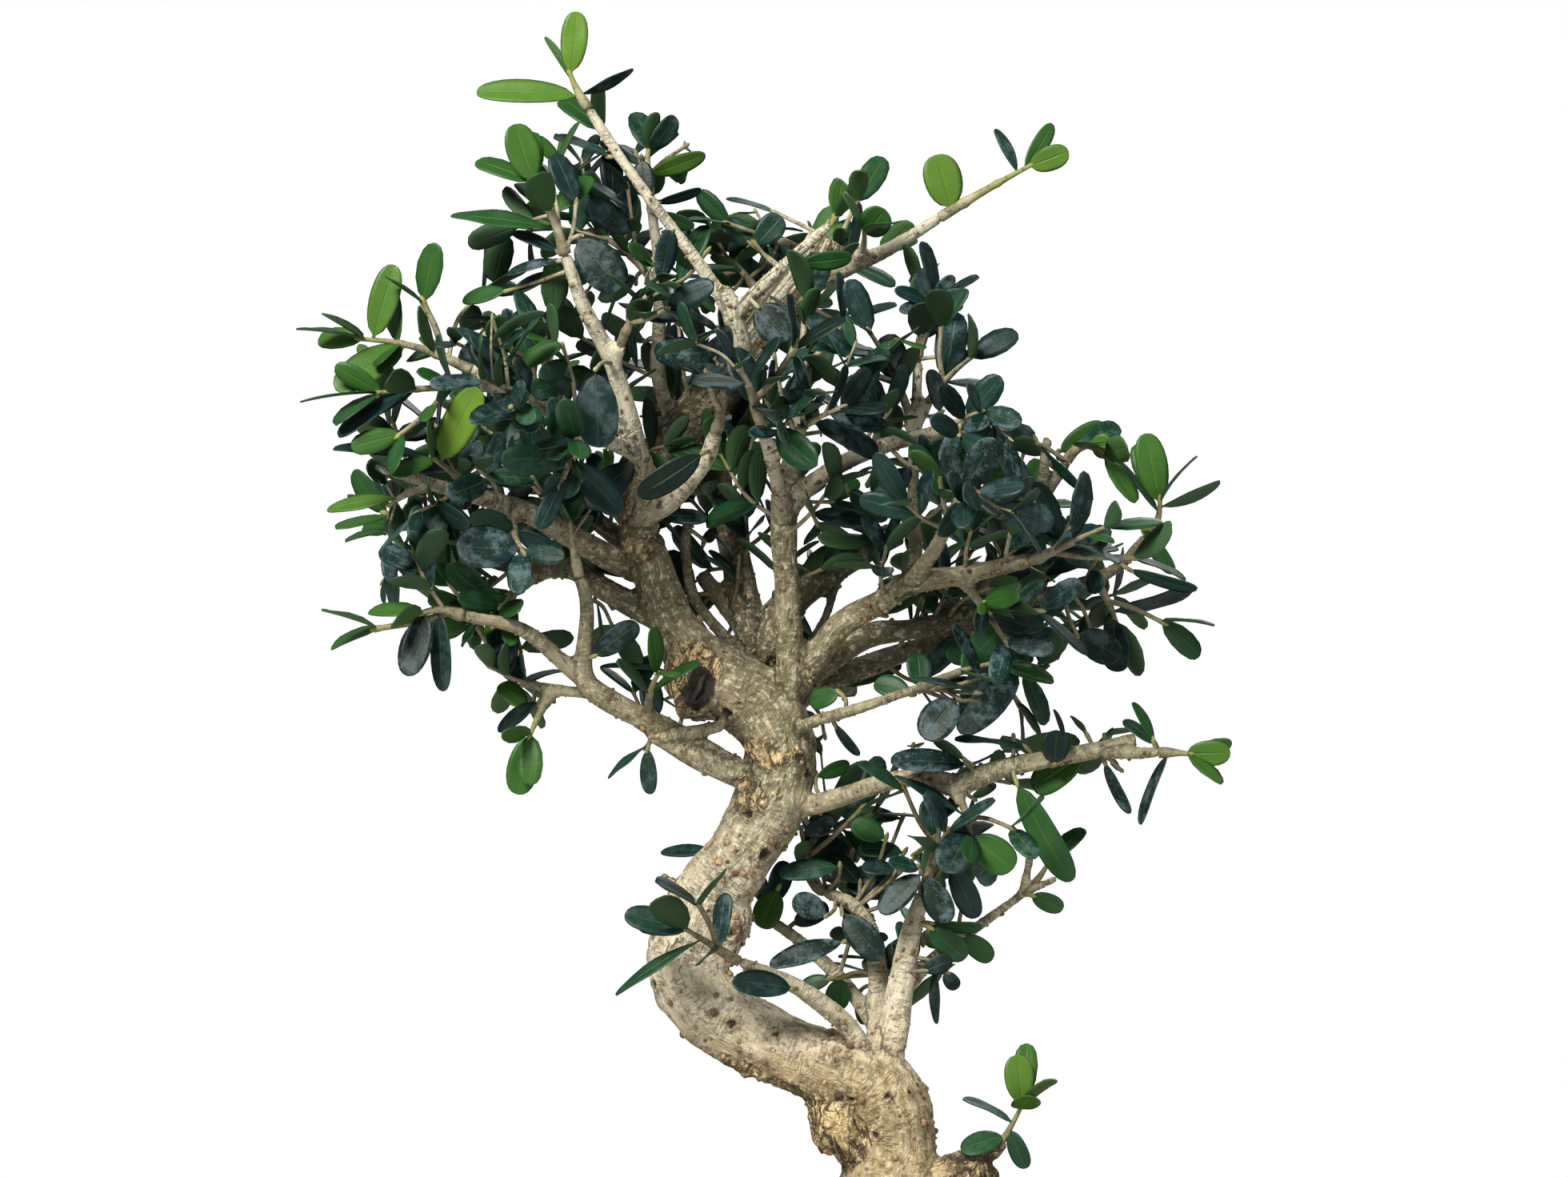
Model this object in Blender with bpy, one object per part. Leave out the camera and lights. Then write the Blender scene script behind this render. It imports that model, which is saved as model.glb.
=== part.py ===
"""An olive bonsai in its pot: trunk, limbs and twigs, leafy sprays, soil, drain meshes and pot.

Metres, +Z up. The origin is the centre of the object's footprint, on the surface that the pot stands on.
The pot's long side runs along X, and -Y is the tree's front. Points of the tree's skeleton are
in millimetres, as (x, y, z, radius), and are scaled by MM where they are read.
"""

import math
import random

import bmesh
import bpy
from mathutils import Matrix, Vector
from mathutils.bvhtree import BVHTree
from mathutils.geometry import intersect_point_line

MM = 0.001
GAP = 0.3 * MM              # clearance between pieces that touch
SEED = 41

POT_LENGTH = 212 * MM
POT_DEPTH = 150 * MM
POT_HEIGHT = 58 * MM
POT_CORNER = 30 * MM        # corner radius of the rim
POT_WALL = 7 * MM
POT_FLOOR = 7 * MM
POT_FLARE = 11 * MM         # how far the rim stands out beyond the foot of the wall
LIP_HEIGHT = 8 * MM
LIP_DEPTH = 3 * MM          # how far the lip stands out from the wall
CORNER_STEPS = 4
FOOT_HEIGHT = 6 * MM
FOOT_SIZE = (38 * MM, 22 * MM)
FOOT_PLACE = (60 * MM, 38 * MM)
FOOT_INSET = LIP_DEPTH + POT_FLARE      # how far the foot of the wall stands in from the rim's outline
FLOOR_TOP = FOOT_HEIGHT + POT_FLOOR

DRAIN_RADIUS = 8 * MM
DRAIN_X = 48 * MM
MESH_SIDE = 27 * MM
MESH_THICKNESS = 1.2 * MM
MESH_HOLES = 3              # square holes along a side
MESH_BAR = 1.8 * MM

SOIL_BELOW_RIM = 6 * MM
SOIL_EDGE = POT_HEIGHT - SOIL_BELOW_RIM
SOIL_MOUND = 7 * MM         # rise of the soil towards the trunk
SOIL_ROUGHNESS = 0.5 * MM
TRUNK_FOOT = (33 * MM, 0)   # where the trunk stands, off the pot's centre

FLAT_ANGLE = 0.012          # faces that meet at less than this, in radians, count as one plane
LEAF_THICKNESS = 0.9 * MM
LEAF_SPACING = 9.5 * MM     # between the pairs of leaves on a shoot
FIRST_LEAF = 4 * MM         # bare length at the foot of a shoot
LAST_LEAF = 0.97            # place of the last pair, as a share of the shoot
LEAF_LENGTH = (12.5 * MM, 18.5 * MM)
LEAF_RATIO = (0.40, 0.52)   # width over length
LEAF_SIDES = 6
LEAF_TAPER = 0.6            # width of the blade's base over its widest part, before the outline's curve
LEAF_CUP = 0.1              # how far the blade's edges stand up, over its width
LEAF_DROOP = (0.02, 0.2)    # how far the tip bends down, over the blade's length
LEAF_SPREAD = (46, 72)      # degrees between a leaf and its stem
TIP_SPREAD = (28, 44)
KEY_LEAF_SIDES = 8
KEY_LEAF_DROOP = 0.12
CLEARANCE = 0.35 * MM       # kept between a leaf or stem and what it isn't joined to
LEAF_TRIES = 7
STEM_THICKEST = 1.4 * MM
STEM_TIP_RADIUS = 0.5 * MM
STEM_SPANS = 3
STEM_SIDES = 4
STEM_TRIES = 14
STRAIGHT_START = 2 * MM     # a shoot at a limb's end starts in line with the limb
PEG_BEYOND_BARK = 2 * MM
SHOOT_LENGTH = (13 * MM, 18 * MM)
ROUND_EDGE = 1 * MM         # half width of the chamfers on the pot

# Each limb: number of sides, then the points of its centre line with the radius there.
LIMBS = {
    "trunk": (10, [
        (33, 0, 34, 13), (33, 0, 48, 18), (33, 0, 58, 18.5), (33, 0, 68, 16.5), (32.5, 0, 84, 14.2),
        (32, 0, 98, 13), (34, -1, 110.5, 10.1), (31.6, -2, 119, 10.3), (26, -2.5, 124.8, 9.9),
        (17.4, -2, 127.6, 9.3), (7.8, -1, 130.6, 9), (-2, 0.5, 135, 9.1), (-12.6, 2, 142, 9.6),
        (-18.6, 3, 153, 9.8), (-15.4, 3, 165, 9.4), (-9.8, 2, 174.6, 8.8), (-2.4, 1, 184, 8.7),
        (2.8, 0, 194, 9.2), (5.6, -0.5, 204, 8.3), (3.8, -0.5, 211, 9.3), (0.4, 0, 217.5, 10),
        (-7, -0.5, 223, 9.2), (-14.5, -1.5, 228.5, 7.8), (-20.6, -1, 236.5, 6), (-24.7, 0, 245.6, 5.4),
        (-27.4, 1, 253.2, 5.3), (-31, 1.5, 260, 4.8)]),
    "limb_left_front": (6, [
        (-29, 1, 252, 3.6), (-36, -1, 254.2, 3.4), (-48, -5, 260.6, 3), (-61, -10, 267.2, 2.6),
        (-75, -16, 271, 1.9), (-93.6, -22, 276.8, 1.3)]),
    "limb_left_back": (6, [
        (-25, 0, 239, 3.6), (-31, 1, 242.4, 3.4), (-40, 5, 247.4, 3), (-47, 9, 251.8, 2.8),
        (-61, 15, 252.8, 2.4), (-71, 19, 255, 2), (-76.4, 22, 258, 1.6)]),
    "limb_pale": (8, [
        (-31, 1, 257, 3.8), (-27.8, -4, 267.8, 3.4), (-30, -12, 280.2, 2.9), (-36, -19, 302, 2.3),
        (-43, -24, 316, 2), (-47.6, -27, 329, 1.7)]),
    "limb_hook": (6, [
        (-28.5, -5, 265, 2.8), (-22, -10, 269, 2.6), (-13.5, -16, 278.6, 2.2), (-11, -18, 285.4, 2)]),
    "limb_fibrous": (8, [
        (-30.5, 1, 258, 5), (-30, 4, 268, 5.4), (-26, 9, 279, 5.6), (-11.4, 15, 297, 6),
        (1.4, 19, 313.4, 6), (12, 21, 326.6, 5.8), (17, 21, 336, 5.4)]),
    "fork_stem": (8, [
        (-9, 15, 298, 2.6), (-3.5, 6, 299, 2.6), (-4, -2, 306, 2.5), (-6.6, -5.5, 314, 2.5),
        (-9, -7, 322, 2.1)]),
    "fork_left": (6, [
        (-7, -5.5, 315, 1.9), (-14.6, -8, 327, 1.8), (-32, -11, 350.2, 1.6), (-42.5, -12, 366, 1.4)]),
    "fork_right": (6, [
        (-7, -5.5, 314.5, 1.9), (-1, -8, 320.6, 1.8), (9, -10, 330, 1.6), (17.4, -11, 337.4, 1.3)]),
    "limb_top_right": (6, [
        (11, 19, 322, 2.4), (18, 11, 326, 2.3), (32, 4, 332, 2), (45, -1, 339.8, 1.6)]),
    "limb_top": (6, [
        (-20, 12, 286, 2.2), (-25.5, 9, 300, 2), (-25, 4, 325, 1.7), (-27.5, 2, 344, 1.4)]),
    "limb_upper_left": (6, [
        (-32, -14, 286, 2.2), (-44, -19, 290, 2.1), (-58, -21, 296, 1.9), (-71, -20, 301, 1.6)]),
    "limb_centre": (8, [
        (5, -2, 216, 3.9), (7.4, -4.5, 228, 3.7), (6.6, -6.5, 248, 3.2), (6, -8, 268, 3.6),
        (9, -9, 284, 2.4), (10, -11, 296, 2)]),
    "limb_centre_dark": (6, [
        (1, 3, 217, 3.8), (0.8, 8, 229, 3.5), (-5.4, 15, 256, 2.8), (-9, 21, 274, 2.2)]),
    "stub_dark": (6, [(1, 6, 225, 2.6), (-4, 11, 236, 2.4), (-15, 16, 250.8, 2.1)]),
    "limb_thin": (6, [
        (-1, 4, 222, 1.9), (-6, 7, 231.5, 1.7), (-16.2, 8, 244, 1.6), (-18.6, 7, 255, 1.5),
        (-18.2, 6, 265, 1.4)]),
    "limb_right_front": (8, [
        (6, -1, 217, 4), (12.6, -3, 228, 3.6), (20.8, -7, 238.4, 3.4), (29, -12, 243.2, 3.2),
        (38, -17, 248.6, 3), (50, -24, 250.4, 2.6), (66, -32, 254, 1.9)]),
    "limb_right_middle": (6, [
        (7, 2, 218, 4), (14.5, 4, 227.6, 3.6), (26.6, 8, 235.2, 3.3), (38, 11, 236.8, 3),
        (50, 13, 239.6, 2.6), (70, 17, 245, 2)]),
    "limb_right_back": (6, [
        (5, 4, 214, 3.8), (12, 10, 221.4, 3.3), (32.8, 24, 229.6, 2.8), (44, 31, 233, 2.4),
        (60, 39, 239, 1.8)]),
    "twig_right_thin": (6, [
        (6, -4, 210, 2), (13, -10, 214, 1.8), (24, -17, 217.4, 1.6), (39, -22, 222.6, 1.3)]),
    "limb_low_right": (6, [
        (5, 0, 191, 3), (16.6, -5, 194, 2.6), (32.2, -11, 199.2, 2.4), (42, -14, 200.2, 2.5),
        (48, -15.5, 198.4, 2.9), (61, -18, 203, 2.6), (84, -22, 207.6, 2.2), (92.6, -23, 210.4, 1.7)]),
    "twig_low_right": (6, [(82, -21.5, 207, 1.8), (91, -25, 206.6, 1.6), (98, -27, 206.8, 1.5)]),
    "limb_low_left": (8, [
        (1, 0, 197, 3.6), (-9, -3, 203.6, 3.3), (-22.4, -6, 211.2, 3.2), (-32.8, -9, 216.8, 3),
        (-41.2, -11, 221.8, 2.9), (-43.8, -12, 227, 2.4), (-42.8, -13, 242, 2), (-44.6, -14, 250, 1.7)]),
    "twig_low_left_up": (6, [
        (-42, -11, 223, 2.4), (-49, -12, 229, 2.3), (-58.8, -15, 237, 2), (-73, -20, 240.4, 1.5)]),
    "twig_low_left": (6, [
        (-41, -10, 221, 1.8), (-50, -5, 221.8, 1.6), (-60, 1, 224.4, 1.4), (-67.4, 5, 233, 1.2)]),
    "limb_rosette": (6, [
        (37, -16.5, 248, 2.2), (38.6, -15, 257, 2), (38, -13, 268, 1.8), (38.6, -10, 288, 1.6),
        (39.4, -9, 304, 1.3)]),
    "limb_upper_right": (6, [
        (6.4, -8, 266, 2.8), (14, -13, 274, 2.4), (27, -19, 281, 2.2), (44, -23, 285.4, 2),
        (62.8, -25, 287.4, 1.6)]),
    "limb_right_rise": (6, [
        (49, 13, 239.4, 2.2), (58, 13, 249, 2), (67, 10, 263, 1.9), (77, 6, 279, 1.5)]),
    "twig_right_stub": (6, [(69, 9.4, 267, 1.8), (71, 5, 276, 1.5), (72, 4, 285, 1.4)]),
    "limb_right_far": (6, [
        (68, 16.6, 244.4, 1.9), (80, 15, 248, 1.8), (90, 12, 252.4, 1.6), (97, 10, 260, 1.3)]),
    "limb_back_top": (6, [(3, 20, 315, 2.4), (7, 33, 319, 2.2), (10, 50, 324, 1.7)]),
    "limb_back_centre": (6, [(-7, 18, 266, 2.3), (-12, 34, 281, 2), (-17, 52, 291, 1.6)]),
    "limb_back_right": (6, [(42, 30, 232.4, 2.2), (49, 43, 243, 2), (52, 58, 253, 1.6)]),
    "limb_back_left": (6, [
        (-27, 2, 252, 3), (-36, 15, 260, 2.6), (-50, 32, 270, 2.2), (-63, 44, 278, 1.7)]),
    "limb_front_left": (6, [(-30, -12, 280, 2.2), (-41, -28, 285, 2), (-52, -44, 290, 1.5)]),
    "limb_front_centre": (6, [(6.2, -8, 263, 2.4), (4, -22, 275, 2.1), (0, -41, 288, 1.6)]),
    "limb_front_right": (6, [(37, -17, 248.4, 2.2), (43, -34, 257, 2), (47, -51, 266, 1.6)]),
    "low_tree_right": (8, [
        (30, -2, 126, 4.4), (33, -3, 137, 4), (35.4, -3, 150, 3.3), (38, -4, 163, 2.6),
        (40.6, -6, 171, 2)]),
    "low_tree_centre": (6, [
        (29, 1, 127, 3.6), (30, 4, 141, 3), (28.6, 6, 158, 2.4), (24, 7, 167, 2), (16, 8, 171, 1.6)]),
    "low_tree_left": (6, [
        (26, -4, 128, 3.2), (22, -9, 138, 2.7), (10, -14, 148, 2.2), (-5, -17, 155, 1.5)]),
    "low_tree_inner": (6, [
        (30, 3, 136, 2.2), (21, 10, 148, 2), (10, 16, 158, 1.7), (1, 20, 164, 1.4)]),
    "low_tree_far": (6, [(35, -2, 145, 2), (44, 2, 155, 1.7), (57, 5, 164, 1.4), (66, 5, 170.6, 1.2)]),
    "base_stub": (8, [(36, -2, 92, 9), (47, -3, 97.6, 8), (56.6, -4, 101.4, 6.4)]),
    "root_front_left": (6, [(30, 4, 62, 8), (18, -12, 57, 6.5), (4, -24, 52.5, 4.4), (-9, -31, 47.5, 2.4)]),
    "root_front_right": (6, [(34, 4, 62, 8), (44, -14, 57, 6.2), (52, -27, 52.5, 4), (60, -38, 47.5, 2.2)]),
    "root_left": (6, [(38, 0, 62, 8), (14, 3, 57, 6.8), (-3, 7, 53, 4.6), (-20, 8, 48, 2.4)]),
    "root_back": (6, [(34, -4, 62, 8), (29, 16, 57, 6.6), (24, 31, 52.5, 4.2), (16, 42, 47.5, 2.2)]),
    "root_right": (6, [(28, -2, 62, 8), (52, 5, 57, 6.4), (66, 12, 52.5, 4.2), (77, 20, 47.5, 2.2)]),
}

# Lumps of the bark: half sizes, centre, tilt in degrees, unevenness.
LUMPS = {
    "burl": ((8.6, 7.4, 7.6), (20.5, -4.5, 113.6), 0, 0.14),
    "burl_right": ((7, 6, 5.6), (52, -4.5, 100), 0, 0.16),
    "knot": ((5.4, 4, 7.4), (-15, -6.6, 222.8), 20, 0.06),
}
KNOT_HOLLOW = ((1.9, 4, 3.8), (-15, -11, 223), 20, 0.05)

# Each leafy shoot: limb, place along it from 0 to 1, end of the shoot, rise of its bow, side shoots.
SPRAYS = {
    "spray_crown_tip": ("fork_left", 1.0, (-47, -12.5, 374.5), 0, 0),
    "spray_crown_high": ("limb_top", 1.0, (-28, 2, 357), 0, 1),
    "spray_crown_left": ("limb_pale", 1.0, (-56, -28, 347), 3, 1),
    "spray_crown_front": ("limb_pale", 0.62, (-24, -36, 322), 2, 1),
    "spray_crown_back": ("limb_top", 0.62, (-46, 20, 338), 3, 1),
    "spray_crown_middle": ("limb_fibrous", 0.93, (-3, 26, 335), 2, 1),
    "spray_crown_rear": ("limb_fibrous", 0.72, (-14, 36, 335), 3, 1),
    "spray_top_right_tip": ("limb_top_right", 1.0, (67.5, -6, 352.5), 0, 0),
    "spray_top_right": ("limb_top_right", 0.42, (26, -5, 336), 0, 0),
    "spray_rosette": ("limb_rosette", 1.0, (43.5, -9, 318), 0, 1),
    "spray_rosette_low": ("limb_rosette", 0.72, (52, -18, 304), 1, 1),
    "spray_rosette_inner": ("limb_rosette", 0.66, (27, -27, 310), 2, 1),
    "spray_heart": ("limb_centre", 1.0, (11, -13, 319), 0, 1),
    "spray_heart_front": ("limb_hook", 1.0, (-9, -30, 301), 2, 1),
    "spray_front_centre": ("limb_front_centre", 1.0, (-5, -61, 300), 2, 1),
    "spray_front_centre_right": ("limb_front_centre", 0.6, (20, -43, 291), 2, 1),
    "spray_dark_centre": ("limb_centre_dark", 1.0, (-10, 30, 298), 2, 1),
    "spray_back_top": ("limb_back_top", 1.0, (14, 67, 333), 3, 1),
    "spray_back_top_right": ("limb_back_top", 0.6, (31, 42, 334), 3, 1),
    "spray_back_centre": ("limb_back_centre", 1.0, (-22, 70, 300), 3, 1),
    "spray_left_tip": ("limb_upper_left", 1.0, (-98, -22, 308.5), 2, 1),
    "spray_left_high": ("limb_upper_left", 0.45, (-54, -26, 308), 2, 1),
    "spray_left_middle": ("limb_upper_left", 0.75, (-93, -30, 295), -1, 1),
    "spray_left_front": ("limb_front_left", 1.0, (-66, -61, 297), 2, 1),
    "spray_left_front_low": ("limb_front_left", 0.55, (-48, -46, 272), -2, 1),
    "spray_left_bright": ("limb_left_front", 0.62, (-80, -27, 279), 2, 0),
    "spray_left_long": ("limb_left_front", 0.82, (-92, -6, 268), -1, 0),
    "spray_left_under": ("limb_left_front", 0.5, (-58, -25, 256), -2, 0),
    "spray_left_back": ("limb_left_back", 1.0, (-93, 27, 262), 2, 1),
    "spray_left_back_low": ("limb_left_back", 0.55, (-72, -3, 239), -2, 1),
    "spray_rear_left": ("limb_back_left", 1.0, (-78, 60, 286), 3, 1),
    "spray_rear_left_high": ("limb_back_left", 0.7, (-54, 45, 300), 3, 1),
    "spray_low_left_tip": ("twig_low_left_up", 1.0, (-83, -23, 241), 1, 1),
    "spray_low_left_high": ("limb_low_left", 1.0, (-47, -15, 263), 0, 0),
    "spray_low_left_back": ("twig_low_left", 1.0, (-78, 10, 248), 2, 1),
    "spray_low_left_hanging": ("twig_low_left", 0.35, (-57, -9, 211), -3, 0),
    "spray_low_left_inner": ("limb_low_left", 0.42, (-25, -25, 226), 0, 0),
    "spray_right_front": ("limb_right_front", 1.0, (84, -41, 262), 2, 1),
    "spray_right_front_low": ("limb_right_front", 0.76, (60, -37, 234), -3, 1),
    "spray_right_near": ("limb_front_right", 1.0, (52, -67, 270), 3, 1),
    "spray_right_high": ("limb_upper_right", 0.7, (54, -42, 290), 1, 1),
    "spray_right_rise": ("limb_right_rise", 1.0, (86, -2, 280), 1, 0),
    "spray_right_far_tip": ("limb_right_far", 1.0, (100.5, 8, 269), 0, 0),
    "spray_right_far": ("limb_right_far", 0.5, (90, 19, 239), -2, 1),
    "spray_right_middle": ("limb_right_middle", 0.7, (66, 4, 226), -3, 1),
    "spray_right_back": ("limb_right_back", 1.0, (78, 47, 243), 2, 1),
    "spray_rear_right": ("limb_back_right", 1.0, (59, 73, 265), 3, 1),
    "spray_right_thin": ("twig_right_thin", 1.0, (58, -27, 229), 1, 0),
    "spray_low_right_tip": ("twig_low_right", 1.0, (105, -29, 206.6), 0, 0),
    "spray_low_right_knob": ("limb_low_right", 0.5, (52, -22, 186), -1, 1),
    "spray_low_tree_right": ("low_tree_right", 1.0, (45, -12, 190), 2, 2),
    "spray_low_tree_centre": ("low_tree_centre", 1.0, (19, 20, 190), 0, 2),
    "spray_low_tree_front": ("low_tree_left", 1.0, (-18, -20, 163), 1, 1),
    "spray_low_tree_far": ("low_tree_far", 1.0, (72, 2, 178), 1, 0),
    "spray_base_sprout": ("base_stub", 0.8, (65.4, -7, 119), -1, 0),
}

# Single leaves that make the outline, by shoot: place along the stem from 0 to 1, tip of the leaf,
# width in millimetres, and roll in degrees away from facing the front.
KEY_LEAVES = {
    "spray_crown_tip": [
        (1.0, (-45, -14, 389.8), 6.8, 0), (0.75, (-52.5, -9, 384.6), 3.8, 50),
        (0.35, (-70, -14, 370.8), 7.4, 20), (0.4, (-31, -9, 375), 4.5, 75)],
    "spray_crown_high": [(0.5, (-14, -4, 355), 5.5, 50), (0.97, (-21, 1, 365), 6.5, 50)],
    "spray_crown_left": [(0.95, (-60, -30, 360.6), 8.4, 10), (0.3, (-75.4, -29, 339.6), 6.4, 40)],
    "spray_top_right_tip": [
        (1.0, (76.5, -9, 355.6), 6.4, 30), (0.85, (59.4, -4, 362), 4.2, 40),
        (0.92, (73.6, -2, 363), 4.4, 20), (0.12, (44, -5, 355), 10, 10)],
    "spray_top_right": [(0.8, (31, -8, 341), 8, 20)],
    "spray_left_tip": [
        (0.9, (-89.6, -24, 326.4), 7.4, 0), (0.95, (-113.6, -24, 312), 5.5, 70),
        (0.6, (-104, -29, 297), 9.4, 15)],
    "spray_left_middle": [(0.97, (-111.6, -38, 294), 5.5, 75), (0.7, (-103, -36, 285.4), 7, 40)],
    "spray_left_bright": [(0.75, (-69, -33, 295.6), 9, 0), (0.95, (-104, -30, 283), 7, 50)],
    "spray_left_long": [(0.6, (-107.8, -8, 267.6), 5.5, 35)],
    "spray_left_under": [(0.9, (-74, -28, 257), 11, 5)],
    "spray_low_left_tip": [(0.9, (-86, -28, 226), 8, 10), (0.55, (-78, -24, 222), 6, 30)],
    "spray_low_left_hanging": [(0.95, (-60, -10, 196), 8, 0)],
    "spray_right_rise": [(0.6, (88, -1, 283), 6.4, 20)],
    "spray_right_far_tip": [
        (0.9, (97, 7, 286), 8, 0), (0.7, (89, 8, 280.6), 5, 55), (0.85, (115.8, 6, 273), 5, 70)],
    "spray_right_far": [(0.7, (110, 18, 246), 5.5, 60), (0.9, (90, 18, 226), 8, 20)],
    "spray_low_right_tip": [(0.85, (115, -31, 207), 6.4, 20), (0.3, (92, -30, 190), 5, 60)],
    "spray_low_right_knob": [
        (0.4, (34, -20, 202), 7, 60), (0.8, (46, -30, 178), 10, 5), (0.97, (62, -24, 178), 9, 10)],
    "spray_right_middle": [(0.95, (50, -6, 212), 9, 10)],
    "spray_low_tree_front": [(0.97, (-33, -22, 167), 7.5, 20), (0.7, (-36, -21, 148), 5, 50)],
    "spray_base_sprout": [
        (0.95, (64, -8, 131), 7.6, 5), (0.85, (67, -11, 121), 8, 50), (0.5, (51, -7, 121), 5, 60),
        (0.35, (66, -8, 103), 5, 20), (0.15, (50, -8, 108), 7, 30)],
}

# Shoots whose stems are bare but for the leaves listed above.
BARE = ("spray_crown_tip", "spray_top_right_tip")

LIGHT = Vector((0.1, -0.5, 0.85)).normalized()      # the side that leaves turn their faces to


def limb_path(points):
    """Return (centre, radius) pairs in metres for points listed in millimetres."""
    return [(Vector(point[:3]) * MM, point[3] * MM) for point in points]


def place_along(path, share):
    """Return the centre, direction and radius at a share of the path's length."""
    lengths = [0.0]
    for (start, _), (stop, _) in zip(path, path[1:]):
        lengths.append(lengths[-1] + (stop - start).length)
    wanted = min(max(share, 0.0), 1.0) * lengths[-1]
    for index in range(len(path) - 1):
        if wanted <= lengths[index + 1] or index == len(path) - 2:
            span = lengths[index + 1] - lengths[index]
            t = (wanted - lengths[index]) / span
            (start, thick), (stop, thin) = path[index], path[index + 1]
            return start.lerp(stop, t), (stop - start).normalized(), thick + (thin - thick) * t


def path_length(path):
    return sum((stop - start).length for (start, _), (stop, _) in zip(path, path[1:]))


def new_object(name, bm):
    """Turn a bmesh into an object of its own, and free the bmesh."""
    mesh = bpy.data.meshes.new(name)
    bm.to_mesh(mesh)
    bm.free()
    solid = bpy.data.objects.new(name, mesh)
    bpy.context.scene.collection.objects.link(solid)
    return solid


def tube(name, path, sides):
    """Make a closed round tube along the path, with its radius changing from point to point."""
    curve = bpy.data.curves.new(name, "CURVE")
    curve.dimensions = "3D"
    curve.bevel_depth = MM
    curve.bevel_resolution = (sides - 4) // 2
    curve.use_fill_caps = True
    spline = curve.splines.new("POLY")
    spline.points.add(len(path) - 1)
    for point, (centre, radius) in zip(spline.points, path):
        point.co = (*centre, 1)
        point.radius = radius / MM
    guide = bpy.data.objects.new(name, curve)
    bpy.context.scene.collection.objects.link(guide)
    evaluated = guide.evaluated_get(bpy.context.evaluated_depsgraph_get())
    mesh = bpy.data.meshes.new_from_object(evaluated)
    bpy.data.objects.remove(guide)
    bpy.data.curves.remove(curve)
    bm = bmesh.new()
    bm.from_mesh(mesh)
    bpy.data.meshes.remove(mesh)
    bmesh.ops.remove_doubles(bm, verts=bm.verts, dist=0.01 * MM)
    bmesh.ops.recalc_face_normals(bm, faces=bm.faces)
    bmesh.ops.triangulate(bm, faces=bm.faces)
    return new_object(name, bm)


def leaf_shape(base, tip, width, thickness, face, droop, sides):
    """Return a bmesh of one blade: a thin closed lens, narrow at its base and bent down at its tip."""
    length = (tip - base).length
    along = (tip - base) / length
    across = face.cross(along).normalized()
    up = along.cross(across)
    bm = bmesh.new()
    bmesh.ops.create_uvsphere(bm, u_segments=sides, v_segments=2, radius=1)
    for vert in bm.verts:
        x, y, z = vert.co
        share = (1 + y) / 2
        half = 0.61 * width * (LEAF_TAPER + (1 - LEAF_TAPER) * share)
        lift = thickness / 2 * z + LEAF_CUP * width * x * x - droop * length * share * (share - 0.4)
        vert.co = base + along * (share * length) + across * (x * half) + up * lift
    return bm


class Space:
    """What is already in place, so that what comes later keeps clear of it."""

    def __init__(self):
        self.solids = []

    def add(self, owner, bm):
        self.solids.append((owner, *self.extent(bm), BVHTree.FromBMesh(bm)))

    def add_path(self, owner, path, sides=6):
        shape = path_shape(path, sides)
        self.add(owner, shape)
        shape.free()

    @staticmethod
    def extent(bm):
        low = [min(vert.co[axis] for vert in bm.verts) for axis in range(3)]
        high = [max(vert.co[axis] for vert in bm.verts) for axis in range(3)]
        return low, high

    def hits(self, bm, skip=()):
        """Say whether a closed shape crosses any solid but those whose owner is skipped."""
        low, high = self.extent(bm)
        tree = None
        for owner, lowest, highest, other in self.solids:
            if owner in skip:
                continue
            if any(low[k] > highest[k] or high[k] < lowest[k] for k in range(3)):
                continue
            tree = tree or BVHTree.FromBMesh(bm)
            if tree.overlap(other):
                return True
        return False


def bow_path(start, stop, aim, rise, sway, radii, count):
    """Return a path that leaves start along aim and curves to stop, with its radius tapering."""
    reach = (stop - start).length
    middle = start + aim * (reach * 0.45) + Vector((0, 0, rise)) * MM + sway
    path = []
    for step in range(count + 1):
        t = step / count
        centre = start * (1 - t) ** 2 + middle * (2 * t * (1 - t)) + stop * t * t
        path.append((centre, radii[0] + (radii[1] - radii[0]) * t))
    return path


def path_shape(path, sides=6, spare=0.0):
    """Return a bmesh tube along a path, fattened by spare, to test for room."""
    bm = bmesh.new()
    rings = []
    for index, (centre, radius) in enumerate(path):
        ahead = path[min(index + 1, len(path) - 1)][0] - path[max(index - 1, 0)][0]
        turn = ahead.to_track_quat("Z", "Y").to_matrix().to_4x4()
        ring = bmesh.ops.create_circle(bm, segments=sides, radius=radius + spare,
                                       matrix=Matrix.Translation(centre) @ turn)["verts"]
        rings.append(ring)
    for ring, following in zip(rings, rings[1:]):
        for k in range(sides):
            bm.faces.new((ring[k], ring[(k + 1) % sides], following[(k + 1) % sides], following[k]))
    return bm


def sideways(direction):
    """Return two unit vectors square to a direction and to each other."""
    helper = Vector((0, 0, 1)) if abs(direction.z) < 0.9 else Vector((1, 0, 0))
    first = direction.cross(helper).normalized()
    return first, direction.cross(first).normalized()


def trim_start(path, distance):
    """Return the rest of a path from the given distance along it."""
    total = path_length(path)
    centre, _, radius = place_along(path, distance / total)
    walked = 0.0
    rest = []
    for (start, _), (stop, thin) in zip(path, path[1:]):
        walked += (stop - start).length
        if walked > distance + 0.5 * MM:
            rest.append((stop, thin))
    return [(centre, radius)] + rest


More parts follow.
